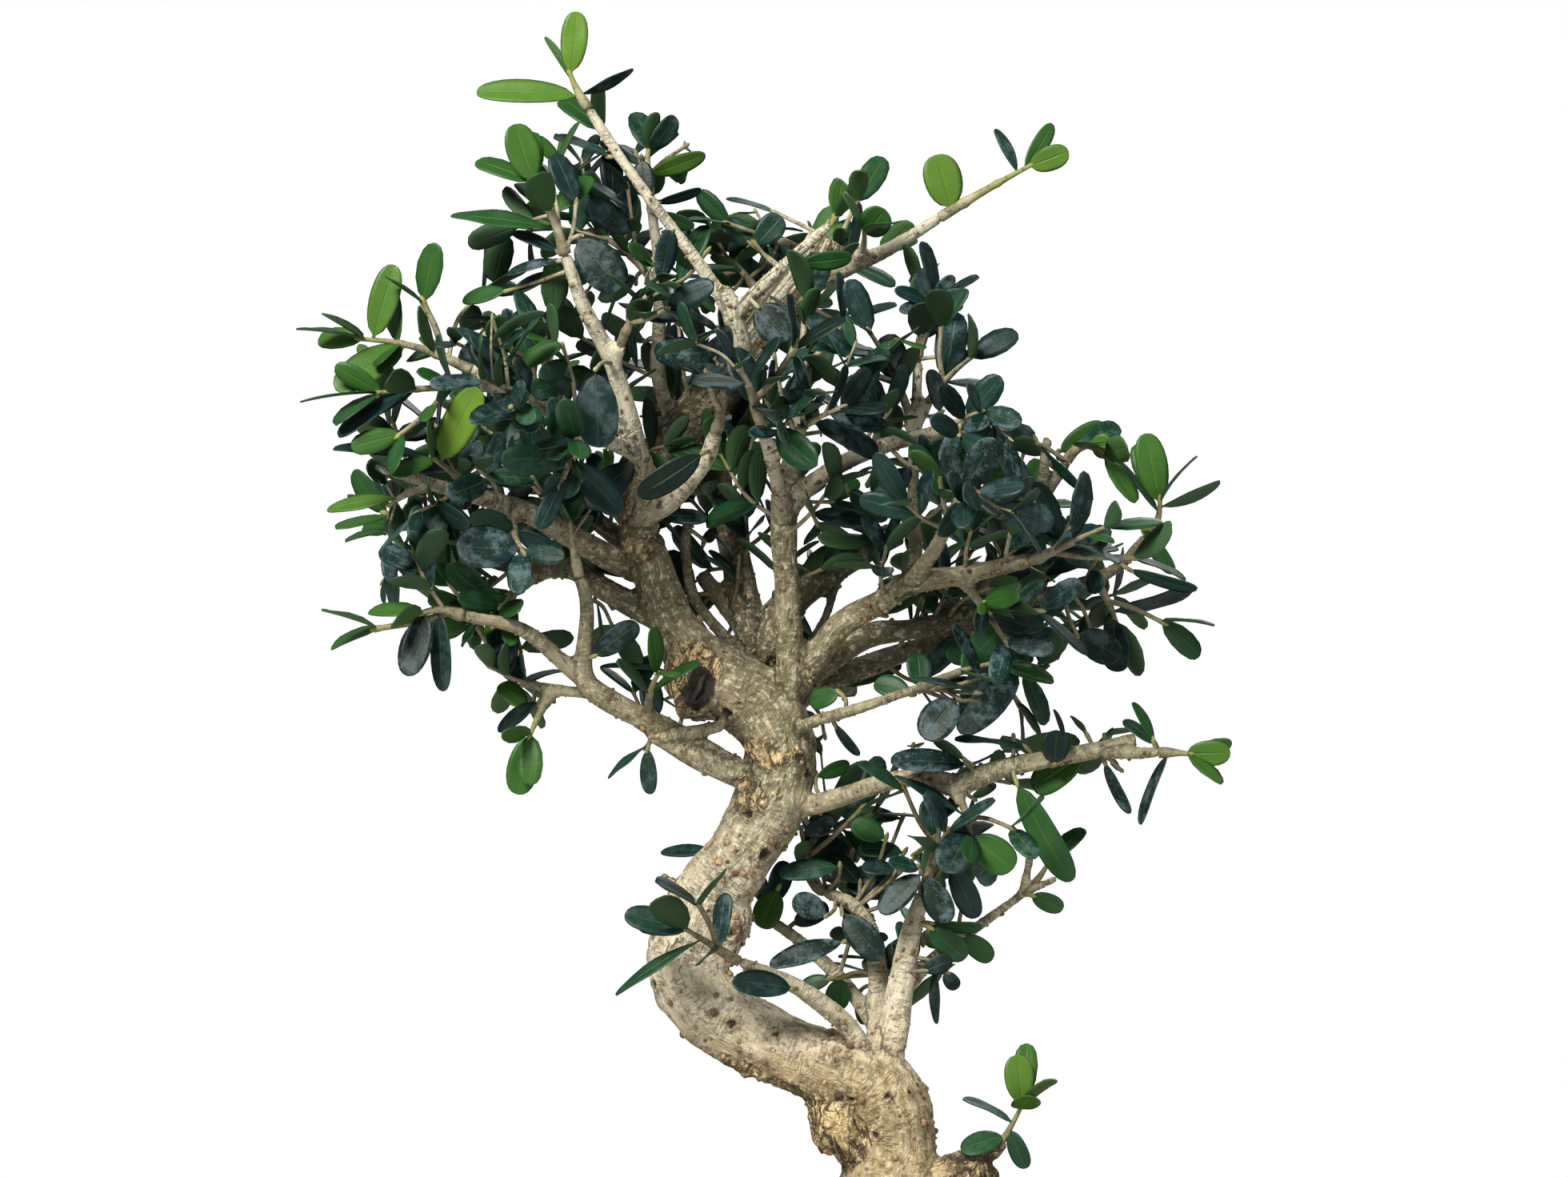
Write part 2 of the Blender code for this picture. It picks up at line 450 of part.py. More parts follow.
def lay_stems(limb_paths, space):
    """Lay the stem of each shoot, with the peg of wood that carries it where it leaves a limb's side."""
    stems = {}
    pegs = []
    for name, (limb, share, end, rise, _) in SPRAYS.items():
        start, aim, radius = place_along(limb_paths[limb], share)
        stop = Vector(end) * MM
        thick = min(radius * 0.96, STEM_THICKEST)
        if share < 1:
            aim = ((stop - start).normalized() * 1.3 + aim * 0.5).normalized()
            origin = start
        else:
            origin = start + aim * STRAIGHT_START
        first, second = sideways((stop - start).normalized())
        for turn in range(STEM_TRIES):
            angle = turn * 2.4
            sway = (first * math.cos(angle) + second * math.sin(angle)) * (0.8 * turn * MM)
            path = bow_path(origin, stop, aim, rise, sway, (thick, STEM_TIP_RADIUS), 12)
            bark = bark_distance(path, limb_paths[limb]) if share < 1 else 0
            stem = trim_start(path, bark + GAP) if share < 1 else path
            test = path_shape(trim_start(stem, 1.2 * MM), spare=CLEARANCE)
            blocked = space.hits(test)
            test.free()
            if not blocked:
                break
        stem = coarser(stem, STEM_SPANS)
        if share < 1:
            peg = [(start, thick), place_at(path, bark)]
            pegs.append(peg)
            space.add_path("wood", peg, STEM_SIDES)
        else:
            stem = [(start + aim * GAP, thick)] + stem
        stems[name] = stem
        space.add_path(name, stem)
    return stems, pegs


def bark_distance(path, limb_path):
    """Return how far along the path it has come out of the limb's bark."""
    distance = GAP
    while distance < path_length(path):
        point = place_at(path, distance)[0]
        if all(above_bark(point, *ends) > PEG_BEYOND_BARK for ends in zip(limb_path, limb_path[1:])):
            break
        distance += 0.5 * MM
    return distance


def above_bark(point, first, last):
    """Return how far a point is from the bark of a straight stretch of a limb."""
    _, share = intersect_point_line(point, first[0], last[0])
    share = min(max(share, 0), 1)
    centre = first[0].lerp(last[0], share)
    return (point - centre).length - first[1] - (last[1] - first[1]) * share


def place_at(path, distance):
    """Return the centre and radius at a distance along the path."""
    centre, _, radius = place_along(path, distance / path_length(path))
    return centre, radius


def coarser(path, spans):
    """Return the same path with only a few points, which all lie on it."""
    picks = []
    for step in range(spans + 1):
        centre, _, radius = place_along(path, step / spans)
        picks.append((centre, radius))
    return picks


def lay_side_shoots(name, stem, count, draw, space):
    """Branch short side shoots off a stem where there is room for them."""
    shoots = []
    for number in range(count):
        for _ in range(LEAF_TRIES):
            share = 0.3 + 0.35 * number + draw.uniform(-0.08, 0.12)
            centre, aim, radius = place_along(stem, share)
            first, second = sideways(aim)
            angle = draw.uniform(0, 2 * math.pi)
            out = first * math.cos(angle) + second * math.sin(angle)
            heading = (aim * 0.7 + out * 0.9 + LIGHT * 0.2).normalized()
            reach = draw.uniform(*SHOOT_LENGTH)
            bend = aim * (0.15 * reach)
            shoot = [(centre, radius * 0.8), (centre + heading * reach * 0.5, radius * 0.72),
                     (centre + heading * reach + bend, radius * 0.6)]
            test = path_shape(shoot, spare=CLEARANCE)
            blocked = space.hits(test, skip=(name,))
            test.free()
            if not blocked:
                space.add_path(name, shoot)
                shoots.append(shoot)
                break
    return shoots


def try_leaf(name, base, tip, width, face, droop, space, sides=LEAF_SIDES):
    """Place one leaf if nothing is in its way, and return what makes it."""
    outward = (tip - base).normalized()
    test = leaf_shape(base + outward * 2.2 * MM, tip + outward * CLEARANCE, width + 2 * CLEARANCE,
                      LEAF_THICKNESS + 2 * CLEARANCE, face, droop, sides)
    blocked = space.hits(test)
    test.free()
    if blocked:
        return None
    leaf = (base, tip, width, LEAF_THICKNESS, face, droop, sides)
    shape = leaf_shape(*leaf)
    space.add(name, shape)
    shape.free()
    return leaf


def lay_key_leaves(name, stem, space):
    """Place the single leaves that are listed for a shoot."""
    leaves = []
    for share, end, width, roll in KEY_LEAVES.get(name, []):
        base = place_along(stem, min(share, LAST_LEAF))[0]
        tip = Vector(end) * MM
        along = (tip - base).normalized()
        front = Vector((0, -1, 0.25))
        face = (front - along * front.dot(along)).normalized()
        face = Matrix.Rotation(math.radians(roll), 3, along) @ face
        leaf = try_leaf(name, base, tip, width * MM, face, KEY_LEAF_DROOP, space, KEY_LEAF_SIDES)
        if leaf:
            leaves.append(leaf)
    return leaves


def lay_leaves(name, stem, pairs, draw, space):
    """Set opposite pairs of leaves along a stem, each pair turned by a quarter, and a pair at its tip."""
    leaves = []
    total = path_length(stem)
    quarter = draw.uniform(0, math.pi)
    for pair in range(pairs + 1):
        share = 1 - (pairs - pair) * LEAF_SPACING / total
        base, aim, _ = place_along(stem, min(share, LAST_LEAF))
        first, second = sideways(aim)
        for side in range(2):
            for attempt in range(LEAF_TRIES):
                angle = quarter + pair * math.pi / 2 + side * math.pi + draw.uniform(-0.4, 0.4) * (1 + attempt)
                out = first * math.cos(angle) + second * math.sin(angle)
                spread = math.radians(draw.uniform(*(TIP_SPREAD if pair == pairs else LEAF_SPREAD)))
                along = aim * math.cos(spread) + out * math.sin(spread) + LIGHT * 0.12
                along.normalize()
                length = draw.uniform(*LEAF_LENGTH) * (1 - 0.06 * attempt) * (0.9 if pair == pairs else 1)
                width = length * draw.uniform(*LEAF_RATIO)
                face = aim + LIGHT * draw.uniform(0.3, 1.2) + out * draw.uniform(-0.3, 0.3)
                face = (face - along * face.dot(along)).normalized()
                face = Matrix.Rotation(draw.uniform(-0.5, 0.5), 3, along) @ face
                leaf = try_leaf(name, base, base + along * length, width, face,
                                draw.uniform(*LEAF_DROOP), space)
                if leaf:
                    leaves.append(leaf)
                    break
    return leaves


def bake(solid):
    """Apply the object's modifiers to its mesh, and join the faces that they leave in one plane."""
    depsgraph = bpy.context.evaluated_depsgraph_get()
    mesh = bpy.data.meshes.new_from_object(solid.evaluated_get(depsgraph))
    solid.modifiers.clear()
    solid.data = mesh
    bm = bmesh.new()
    bm.from_mesh(mesh)
    bmesh.ops.dissolve_limit(bm, angle_limit=FLAT_ANGLE, verts=bm.verts, edges=bm.edges)
    bmesh.ops.triangulate(bm, faces=bm.faces)
    bm.to_mesh(mesh)
    bm.free()


def combine(target, pieces, operation="UNION", solver="EXACT"):
    """Join the pieces to the target, or cut them out of it, and remove them."""
    group = bpy.data.collections.new(target.name + "_pieces")
    bpy.context.scene.collection.children.link(group)
    for piece in pieces:
        group.objects.link(piece)
        bpy.context.scene.collection.objects.unlink(piece)
    joint = target.modifiers.new("join", "BOOLEAN")
    joint.operation = operation
    joint.solver = solver
    joint.operand_type = "COLLECTION"
    joint.collection = group
    bake(target)
    for piece in pieces:
        bpy.data.objects.remove(piece)
    bpy.data.collections.remove(group)


def material(name, colour, roughness):
    surface = bpy.data.materials.new(name)
    surface.use_nodes = True
    shader = surface.node_tree.nodes["Principled BSDF"]
    shader.inputs["Base Color"].default_value = (*colour, 1)
    shader.inputs["Roughness"].default_value = roughness
    shader.inputs["Metallic"].default_value = 0
    return surface


def finish(solid, surface, collection):
    """Put a finished solid in the collection, with its material."""
    solid.data.materials.clear()
    solid.data.materials.append(surface)
    for holder in list(solid.users_collection):
        holder.objects.unlink(solid)
    collection.objects.link(solid)


def rounded_ring(bm, inset, height):
    """Add a ring of vertices on the pot's rounded rectangle, drawn in by inset, at a height."""
    corner = max(POT_CORNER - inset, 4 * MM)
    reach_x = POT_LENGTH / 2 - inset - corner
    reach_y = POT_DEPTH / 2 - inset - corner
    count = 4 * (CORNER_STEPS + 1)
    ring = bmesh.ops.create_circle(bm, segments=count, radius=corner)["verts"]
    for index, vert in enumerate(ring):
        quarter, step = divmod(index, CORNER_STEPS + 1)
        angle = (quarter + step / CORNER_STEPS) * math.pi / 2
        side_x = 1 if quarter in (0, 3) else -1
        side_y = 1 if quarter in (0, 1) else -1
        vert.co = (side_x * reach_x + corner * math.cos(angle),
                   side_y * reach_y + corner * math.sin(angle), height)
    return ring


def loft(bm, rings):
    """Join the rings with faces and close both ends."""
    for ring, following in zip(rings, rings[1:]):
        for k in range(len(ring)):
            after = (k + 1) % len(ring)
            bm.faces.new((ring[k], ring[after], following[after], following[k]))
    bm.faces.new(rings[0])
    bm.faces.new(rings[-1])
    bmesh.ops.recalc_face_normals(bm, faces=bm.faces)


def inner_inset(height):
    """Return how far the pot's inner wall stands in from the rim's outline at a height."""
    share = (height - FLOOR_TOP) / (POT_HEIGHT - FLOOR_TOP)
    return POT_WALL + FOOT_INSET * (1 - share)


def box(name, size, centre):
    bm = bmesh.new()
    bmesh.ops.create_cube(bm, size=1)
    bmesh.ops.scale(bm, vec=size, verts=bm.verts)
    bmesh.ops.translate(bm, vec=centre, verts=bm.verts)
    return new_object(name, bm)


def cylinder(name, radius, depth, centre, sides=20):
    bm = bmesh.new()
    bmesh.ops.create_cone(bm, cap_ends=True, segments=sides, radius1=radius, radius2=radius, depth=depth)
    bmesh.ops.translate(bm, vec=centre, verts=bm.verts)
    return new_object(name, bm)


def make_pot():
    """Make the tray: flared walls under a proud lip, four feet and two drain holes."""
    bm = bmesh.new()
    lip_foot = POT_HEIGHT - LIP_HEIGHT
    profile = [
        (FOOT_INSET + 2 * ROUND_EDGE, FOOT_HEIGHT),
        (FOOT_INSET, FOOT_HEIGHT + 2 * ROUND_EDGE),
        (LIP_DEPTH + POT_FLARE * 0.38, FOOT_HEIGHT + (lip_foot - FOOT_HEIGHT) * 0.5),
        (LIP_DEPTH, lip_foot),
        (ROUND_EDGE * 0.5, lip_foot + ROUND_EDGE * 0.5),
        (0, lip_foot + ROUND_EDGE * 1.5),
        (0, POT_HEIGHT - ROUND_EDGE),
        (ROUND_EDGE, POT_HEIGHT),
        (POT_WALL - ROUND_EDGE, POT_HEIGHT),
        (inner_inset(POT_HEIGHT - ROUND_EDGE), POT_HEIGHT - ROUND_EDGE),
        (inner_inset(FLOOR_TOP), FLOOR_TOP),
    ]
    loft(bm, [rounded_ring(bm, inset, height) for inset, height in profile])
    pot = new_object("pot", bm)
    feet = []
    for side_x in (-1, 1):
        for side_y in (-1, 1):
            size = (*FOOT_SIZE, FOOT_HEIGHT + 2 * MM)
            centre = (side_x * FOOT_PLACE[0], side_y * FOOT_PLACE[1], size[2] / 2)
            foot = box("foot", size, centre)
            feet.append(foot)
    combine(pot, feet)
    drains = [cylinder("drain", DRAIN_RADIUS, 3 * POT_FLOOR, (side * DRAIN_X, 0, FOOT_HEIGHT + POT_FLOOR / 2))
              for side in (-1, 1)]
    combine(pot, drains, operation="DIFFERENCE")
    return pot


def make_drain_mesh(name, x):
    """Make one square of plastic mesh that lies over a drain hole."""
    middle = FLOOR_TOP + GAP + MESH_THICKNESS / 2
    plate = box(name, (MESH_SIDE, MESH_SIDE, MESH_THICKNESS), (x, 0, middle))
    pitch = (MESH_SIDE - MESH_BAR) / MESH_HOLES
    hole = pitch - MESH_BAR
    holes = []
    for row in range(MESH_HOLES):
        for column in range(MESH_HOLES):
            offset_x = (column - (MESH_HOLES - 1) / 2) * pitch
            offset_y = (row - (MESH_HOLES - 1) / 2) * pitch
            holes.append(box("hole", (hole, hole, 3 * MESH_THICKNESS), (x + offset_x, offset_y, middle)))
    combine(plate, holes, operation="DIFFERENCE")
    return plate


def make_soil(limb_paths):
    """Make the soil: it fills the pot, rises to the trunk, and has a plain hole round the root flare."""
    draw = random.Random(SEED)
    bm = bmesh.new()
    rings = [rounded_ring(bm, inner_inset(FLOOR_TOP) + GAP, FLOOR_TOP + GAP),
             rounded_ring(bm, inner_inset(SOIL_EDGE) + GAP, SOIL_EDGE)]
    foot = Vector((*TRUNK_FOOT, 0))
    for share in (0.8, 0.55, 0.3):
        ring = rounded_ring(bm, inner_inset(SOIL_EDGE) + GAP, SOIL_EDGE)
        for vert in ring:
            flat = foot.lerp(Vector((vert.co.x, vert.co.y, 0)), share)
            height = SOIL_EDGE + SOIL_MOUND * (1 - share ** 2) + draw.uniform(-1, 1) * SOIL_ROUGHNESS
            vert.co = (flat.x, flat.y, height)
        rings.append(ring)
    loft(bm, rings)
    bmesh.ops.triangulate(bm, faces=bm.faces)
    soil = new_object("soil", bm)
    hole = grown_foot(limb_paths)
    combine(soil, [hole], operation="DIFFERENCE")
    pocket_height = MESH_THICKNESS + 2 * GAP
    pocket_side = MESH_SIDE + 2 * GAP
    pockets = [box("pocket", (pocket_side, pocket_side, 2 * pocket_height), (side * DRAIN_X, 0, FLOOR_TOP + GAP))
               for side in (-1, 1)]
    combine(soil, pockets, operation="DIFFERENCE")
    return soil


def grown_foot(limb_paths):
    """Make the shape of the trunk's foot and the surface roots, larger by the gap, that the soil is cut by."""
    parts = []
    for name, path in limb_paths.items():
        if name == "trunk" or name.startswith("root_"):
            low = [(centre, radius + GAP) for centre, radius in path if centre.z < 90 * MM]
            (first, _), (last, _) = low[0], low[-1]
            if name == "trunk":
                low[0] = (first - Vector((0, 0, GAP)), low[0][1])
            else:
                low[-1] = (last + (last - low[-2][0]).normalized() * GAP, low[-1][1])
            parts.append(tube(name + "_hole", low, LIMBS[name][0]))
    combine(parts[0], parts[1:])
    return parts[0]


def lump(name, size, centre, tilt, rough):
    """Make an uneven rounded lump, its sizes given in millimetres."""
    draw = random.Random(f"{SEED} {name}")
    bm = bmesh.new()
    bmesh.ops.create_icosphere(bm, subdivisions=2, radius=1)
    for vert in bm.verts:
        vert.co *= 1 + draw.uniform(-rough, rough)
    place = Matrix.Translation(Vector(centre) * MM) @ Matrix.Rotation(math.radians(tilt), 4, "Y")
    bmesh.ops.scale(bm, vec=Vector(size) * MM, verts=bm.verts)
    bmesh.ops.transform(bm, matrix=place, verts=bm.verts)
    return new_object(name, bm)


def make_wood(limb_paths, pegs):
    """Join the trunk, limbs, twigs, roots, burl and knot scar into the one piece that they grew as."""
    pieces = [tube(name, path, LIMBS[name][0]) for name, path in limb_paths.items()]
    pieces += [tube("peg", peg, STEM_SIDES) for peg in pegs]
    pieces += [lump(name, *measures) for name, measures in LUMPS.items()]
    wood = pieces[0]
    wood.name = "wood"
    combine(wood, pieces[1:])
    combine(wood, [lump("hollow", *KNOT_HOLLOW)], operation="DIFFERENCE")
    return wood


def make_spray(name, stem, shoots, leaves):
    """Join one shoot's stem, side shoots and leaves."""
    spray = tube(name, stem, STEM_SIDES)
    pieces = [tube("shoot", shoot, STEM_SIDES) for shoot in shoots]
    pieces += [new_object("leaf", leaf_shape(*leaf)) for leaf in leaves]
    combine(spray, pieces)
    return spray


def lay_foliage(limb_paths):
    """Find a place for every stem, side shoot and leaf, and return them with the pegs on the wood."""
    space = Space()
    for name, path in limb_paths.items():
        space.add_path("wood", path, LIMBS[name][0])
    stems, pegs = lay_stems(limb_paths, space)
    draws = {name: random.Random(f"{SEED} {name}") for name in SPRAYS}
    shoots = {name: lay_side_shoots(name, stems[name], SPRAYS[name][4], draws[name], space)
              for name in SPRAYS}
    leaves = {name: lay_key_leaves(name, stems[name], space) for name in SPRAYS}
    for name in SPRAYS:
        if name in BARE:
            continue
        pairs = int((path_length(stems[name]) - FIRST_LEAF) / LEAF_SPACING)
        leaves[name] += lay_leaves(name, stems[name], pairs, draws[name], space)
        for shoot in shoots[name]:
            leaves[name] += lay_leaves(name, shoot, 0, draws[name], space)
    return stems, shoots, leaves, pegs


def build():
    for old in list(bpy.data.objects):
        bpy.data.objects.remove(old)
    bonsai = bpy.data.collections.new("olive_bonsai")
    bpy.context.scene.collection.children.link(bonsai)
    limb_paths = {name: limb_path(points) for name, (_, points) in LIMBS.items()}
    stems, shoots, leaves, pegs = lay_foliage(limb_paths)
    finish(make_wood(limb_paths, pegs), material("bark", (0.52, 0.44, 0.30), 0.85), bonsai)
    finish(make_soil(limb_paths), material("soil", (0.09, 0.06, 0.04), 0.95), bonsai)
    finish(make_pot(), material("unglazed_clay", (0.17, 0.08, 0.05), 0.7), bonsai)
    for name, side in (("drain_mesh_left", -1), ("drain_mesh_right", 1)):
        surface = material(name, (0.02, 0.02, 0.02), 0.6)
        finish(make_drain_mesh(name, side * DRAIN_X), surface, bonsai)
    for name in SPRAYS:
        surface = material(name, (0.03, 0.09, 0.03), 0.45)
        finish(make_spray(name, stems[name], shoots[name], leaves[name]), surface, bonsai)


build()
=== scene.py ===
# Looks of the olive bonsai: bark, leaves, soil and pot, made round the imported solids.
# Metres, +Z up, -Y is the tree's front. Points of the skeleton are in millimetres.

import math
import random

import bmesh
import bpy
import numpy as np
from mathutils import Matrix, Quaternion, Vector, noise
from mathutils.bvhtree import BVHTree
from mathutils.geometry import intersect_point_line


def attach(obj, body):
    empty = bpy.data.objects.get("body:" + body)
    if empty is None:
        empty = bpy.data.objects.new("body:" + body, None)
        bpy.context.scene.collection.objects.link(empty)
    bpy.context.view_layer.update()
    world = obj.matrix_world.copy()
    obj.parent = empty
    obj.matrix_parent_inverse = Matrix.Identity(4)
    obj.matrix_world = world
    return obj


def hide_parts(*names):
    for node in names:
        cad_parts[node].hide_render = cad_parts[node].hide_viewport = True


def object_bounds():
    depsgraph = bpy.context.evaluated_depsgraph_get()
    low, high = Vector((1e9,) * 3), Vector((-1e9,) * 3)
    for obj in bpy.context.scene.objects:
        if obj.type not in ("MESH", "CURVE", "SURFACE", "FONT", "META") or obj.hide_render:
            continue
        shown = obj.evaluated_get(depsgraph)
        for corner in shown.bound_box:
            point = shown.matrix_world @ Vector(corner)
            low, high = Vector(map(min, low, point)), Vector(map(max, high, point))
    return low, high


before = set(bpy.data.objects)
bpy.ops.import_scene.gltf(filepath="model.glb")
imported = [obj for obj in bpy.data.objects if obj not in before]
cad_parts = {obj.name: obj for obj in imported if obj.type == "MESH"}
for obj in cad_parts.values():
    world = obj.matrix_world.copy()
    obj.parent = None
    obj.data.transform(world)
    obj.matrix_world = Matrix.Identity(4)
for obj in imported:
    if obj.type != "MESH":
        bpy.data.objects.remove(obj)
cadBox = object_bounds()
print("frame loaded:", len(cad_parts), "solids")

mm = 0.001

# Shader maths

class Signal:
    # wraps a socket, so that masks are written as sums
    def __init__(self, tree, socket=None):
        self.tree = tree
        self.socket = socket

    def node(self, kind, settings=None, values=None, out=0):
        made = self.tree.nodes.new("ShaderNode" + kind)
        for name, value in (settings or {}).items():
            if name == "stops":
                for element, (place, tint) in zip(made.color_ramp.elements, (value[0], value[-1])):
                    element.position, element.color = place, tint
                for place, tint in value[1:-1]:
                    made.color_ramp.elements.new(place).color = tint
            else:
                setattr(made, name, value)
        for name, value in (values or {}).items():
            if isinstance(value, Signal):
                self.tree.links.new(value.socket, made.inputs[name])
            else:
                made.inputs[name].default_value = value
        return Signal(self.tree, made.outputs[out])

    def maths(self, operation, first, second=0.0):
        return self.node("Math", {"operation": operation}, {0: first, 1: second})

    def __add__(self, other):
        return self.maths("ADD", self, other)

    def __sub__(self, other):
        return self.maths("SUBTRACT", self, other)

    def __rsub__(self, other):
        return self.maths("SUBTRACT", other, self)

    def __mul__(self, other):
        return self.maths("MULTIPLY", self, other)

    __radd__ = __add__
    __rmul__ = __mul__


def step(signal, low, high):
    # 0 below low, 1 above high, and smooth between them; low may be the larger one
    return signal.node("MapRange", {"interpolation_type": "SMOOTHSTEP"},
                       {"Value": signal, "From Min": low, "From Max": high})


def blend(share, first, second):
    return share.node("Mix", {"data_type": "RGBA"}, {0: share, 6: first, 7: second}, out=2)


def grains(where, scale, detail=4.0, rough=0.55, warp=0.0):
    return where.node("TexNoise", None, {"Vector": where, "Scale": scale, "Detail": detail,
                                         "Roughness": rough, "Distortion": warp})


def stretched(where, factors):
    return where.node("Mapping", None, {"Vector": where, "Scale": factors})


def bump(height, distance, strength=1.0):
    return height.node("Bump", None, {"Height": height, "Distance": distance, "Strength": strength})


def split(source, kind="SeparateColor"):
    # the three channels of a colour, or with SeparateXYZ the three parts of a place
    parts = source.node(kind, None, {0: source}).socket.node.outputs
    return [Signal(source.tree, part) for part in parts]


def painted(place, name):
    # the channels of a colour that the mesh carries
    return split(place.node("Attribute", {"attribute_name": name}))


def startMaterial(name):
    surface = bpy.data.materials.new(name)
    surface.use_nodes = True
    place = Signal(surface.node_tree).node("TexCoord", out=3)
    return surface, surface.node_tree.nodes["Principled BSDF"], place


def feed(shader, **links):
    sockets = {"base": "Base Color", "rough": "Roughness", "normal": "Normal", "alpha": "Alpha"}
    for name, signal in links.items():
        signal.tree.links.new(signal.socket, shader.inputs[sockets[name]])


# Camera and lights

studio = {
    "camera": (6 * mm, -1.4, 247.1 * mm),     # level, looking along +Y
    "sensor": 36,
    "viewWidth": 392 * mm,                    # what the picture spans at the tree's middle
    "white": 1.0,                             # what the camera sees behind the tree
    "glow": 0.26,                             # what the room gives in light
    "floorRadius": 0.85,
    "floorFade": 0.4,                         # where the floor starts to fade, over its radius
    # place, target, size, power and tint
    "lights": {
        "key": ((-0.5, -0.85, 1.05), (0, 0, 0.22), 0.5, 32.5, (1, 0.96, 0.9)),
        "fill": ((0.9, -0.8, 0.4), (0, 0, 0.2), 0.7, 3.2, (0.93, 0.97, 1)),
        "back": ((0.3, 0.9, 0.9), (0, 0, 0.28), 0.5, 3, (1, 1, 1)),
    },
}


def colour(red, green, blue):
    # a colour as a picture shows it, from 0 to 255 a channel
    return (*[((part / 255 + 0.055) / 1.055) ** 2.4 for part in (red, green, blue)], 1)


def addObject(name, data):
    holder = bpy.data.objects.new(name, data)
    bpy.context.scene.collection.objects.link(holder)
    return holder


def applied(thing):
    # its mesh with the modifiers applied; the thing itself goes
    mesh = bpy.data.meshes.new_from_object(thing.evaluated_get(bpy.context.evaluated_depsgraph_get()))
    bpy.data.objects.remove(thing)
    return mesh


def addLight(name, place, target, size, power, tint):
    lamp = bpy.data.lights.new(name, "AREA")
    lamp.shape = "DISK"
    lamp.size = size
    lamp.energy = power
    lamp.color = tint
    holder = addObject(name, lamp)
    holder.location = place
    holder.rotation_euler = (Vector(target) - Vector(place)).to_track_quat("-Z", "Y").to_euler()


def setStudio():
    scene = bpy.context.scene
    camera = bpy.data.cameras.new("camera")
    camera.sensor_width = studio["sensor"]
    camera.lens = studio["sensor"] * -studio["camera"][1] / studio["viewWidth"]
    holder = addObject("camera", camera)
    holder.location = studio["camera"]
    holder.rotation_euler = (math.pi / 2, 0, 0)
    scene.camera = holder
    world = bpy.data.worlds.new("white room")
    world.use_nodes = True
    scene.world = world
    sky = Signal(world.node_tree)
    glow = sky.node("Background", None, {"Color": (0.95, 0.98, 1, 1), "Strength": studio["glow"]})
    backdrop = sky.node("Background", None, {"Color": (1, 1, 1, 1), "Strength": studio["white"]})
    seen = sky.node("MixShader", None, {0: sky.node("LightPath"), 1: glow, 2: backdrop})
    sky.tree.links.new(seen.socket, sky.tree.nodes["World Output"].inputs["Surface"])
    scene.view_settings.view_transform = "Standard"
    for name, settings in studio["lights"].items():
        addLight(name, *settings)


setStudio()
print("studio set")

# The skeleton: each limb's number of sides in the solid, then its centre line with the radius there

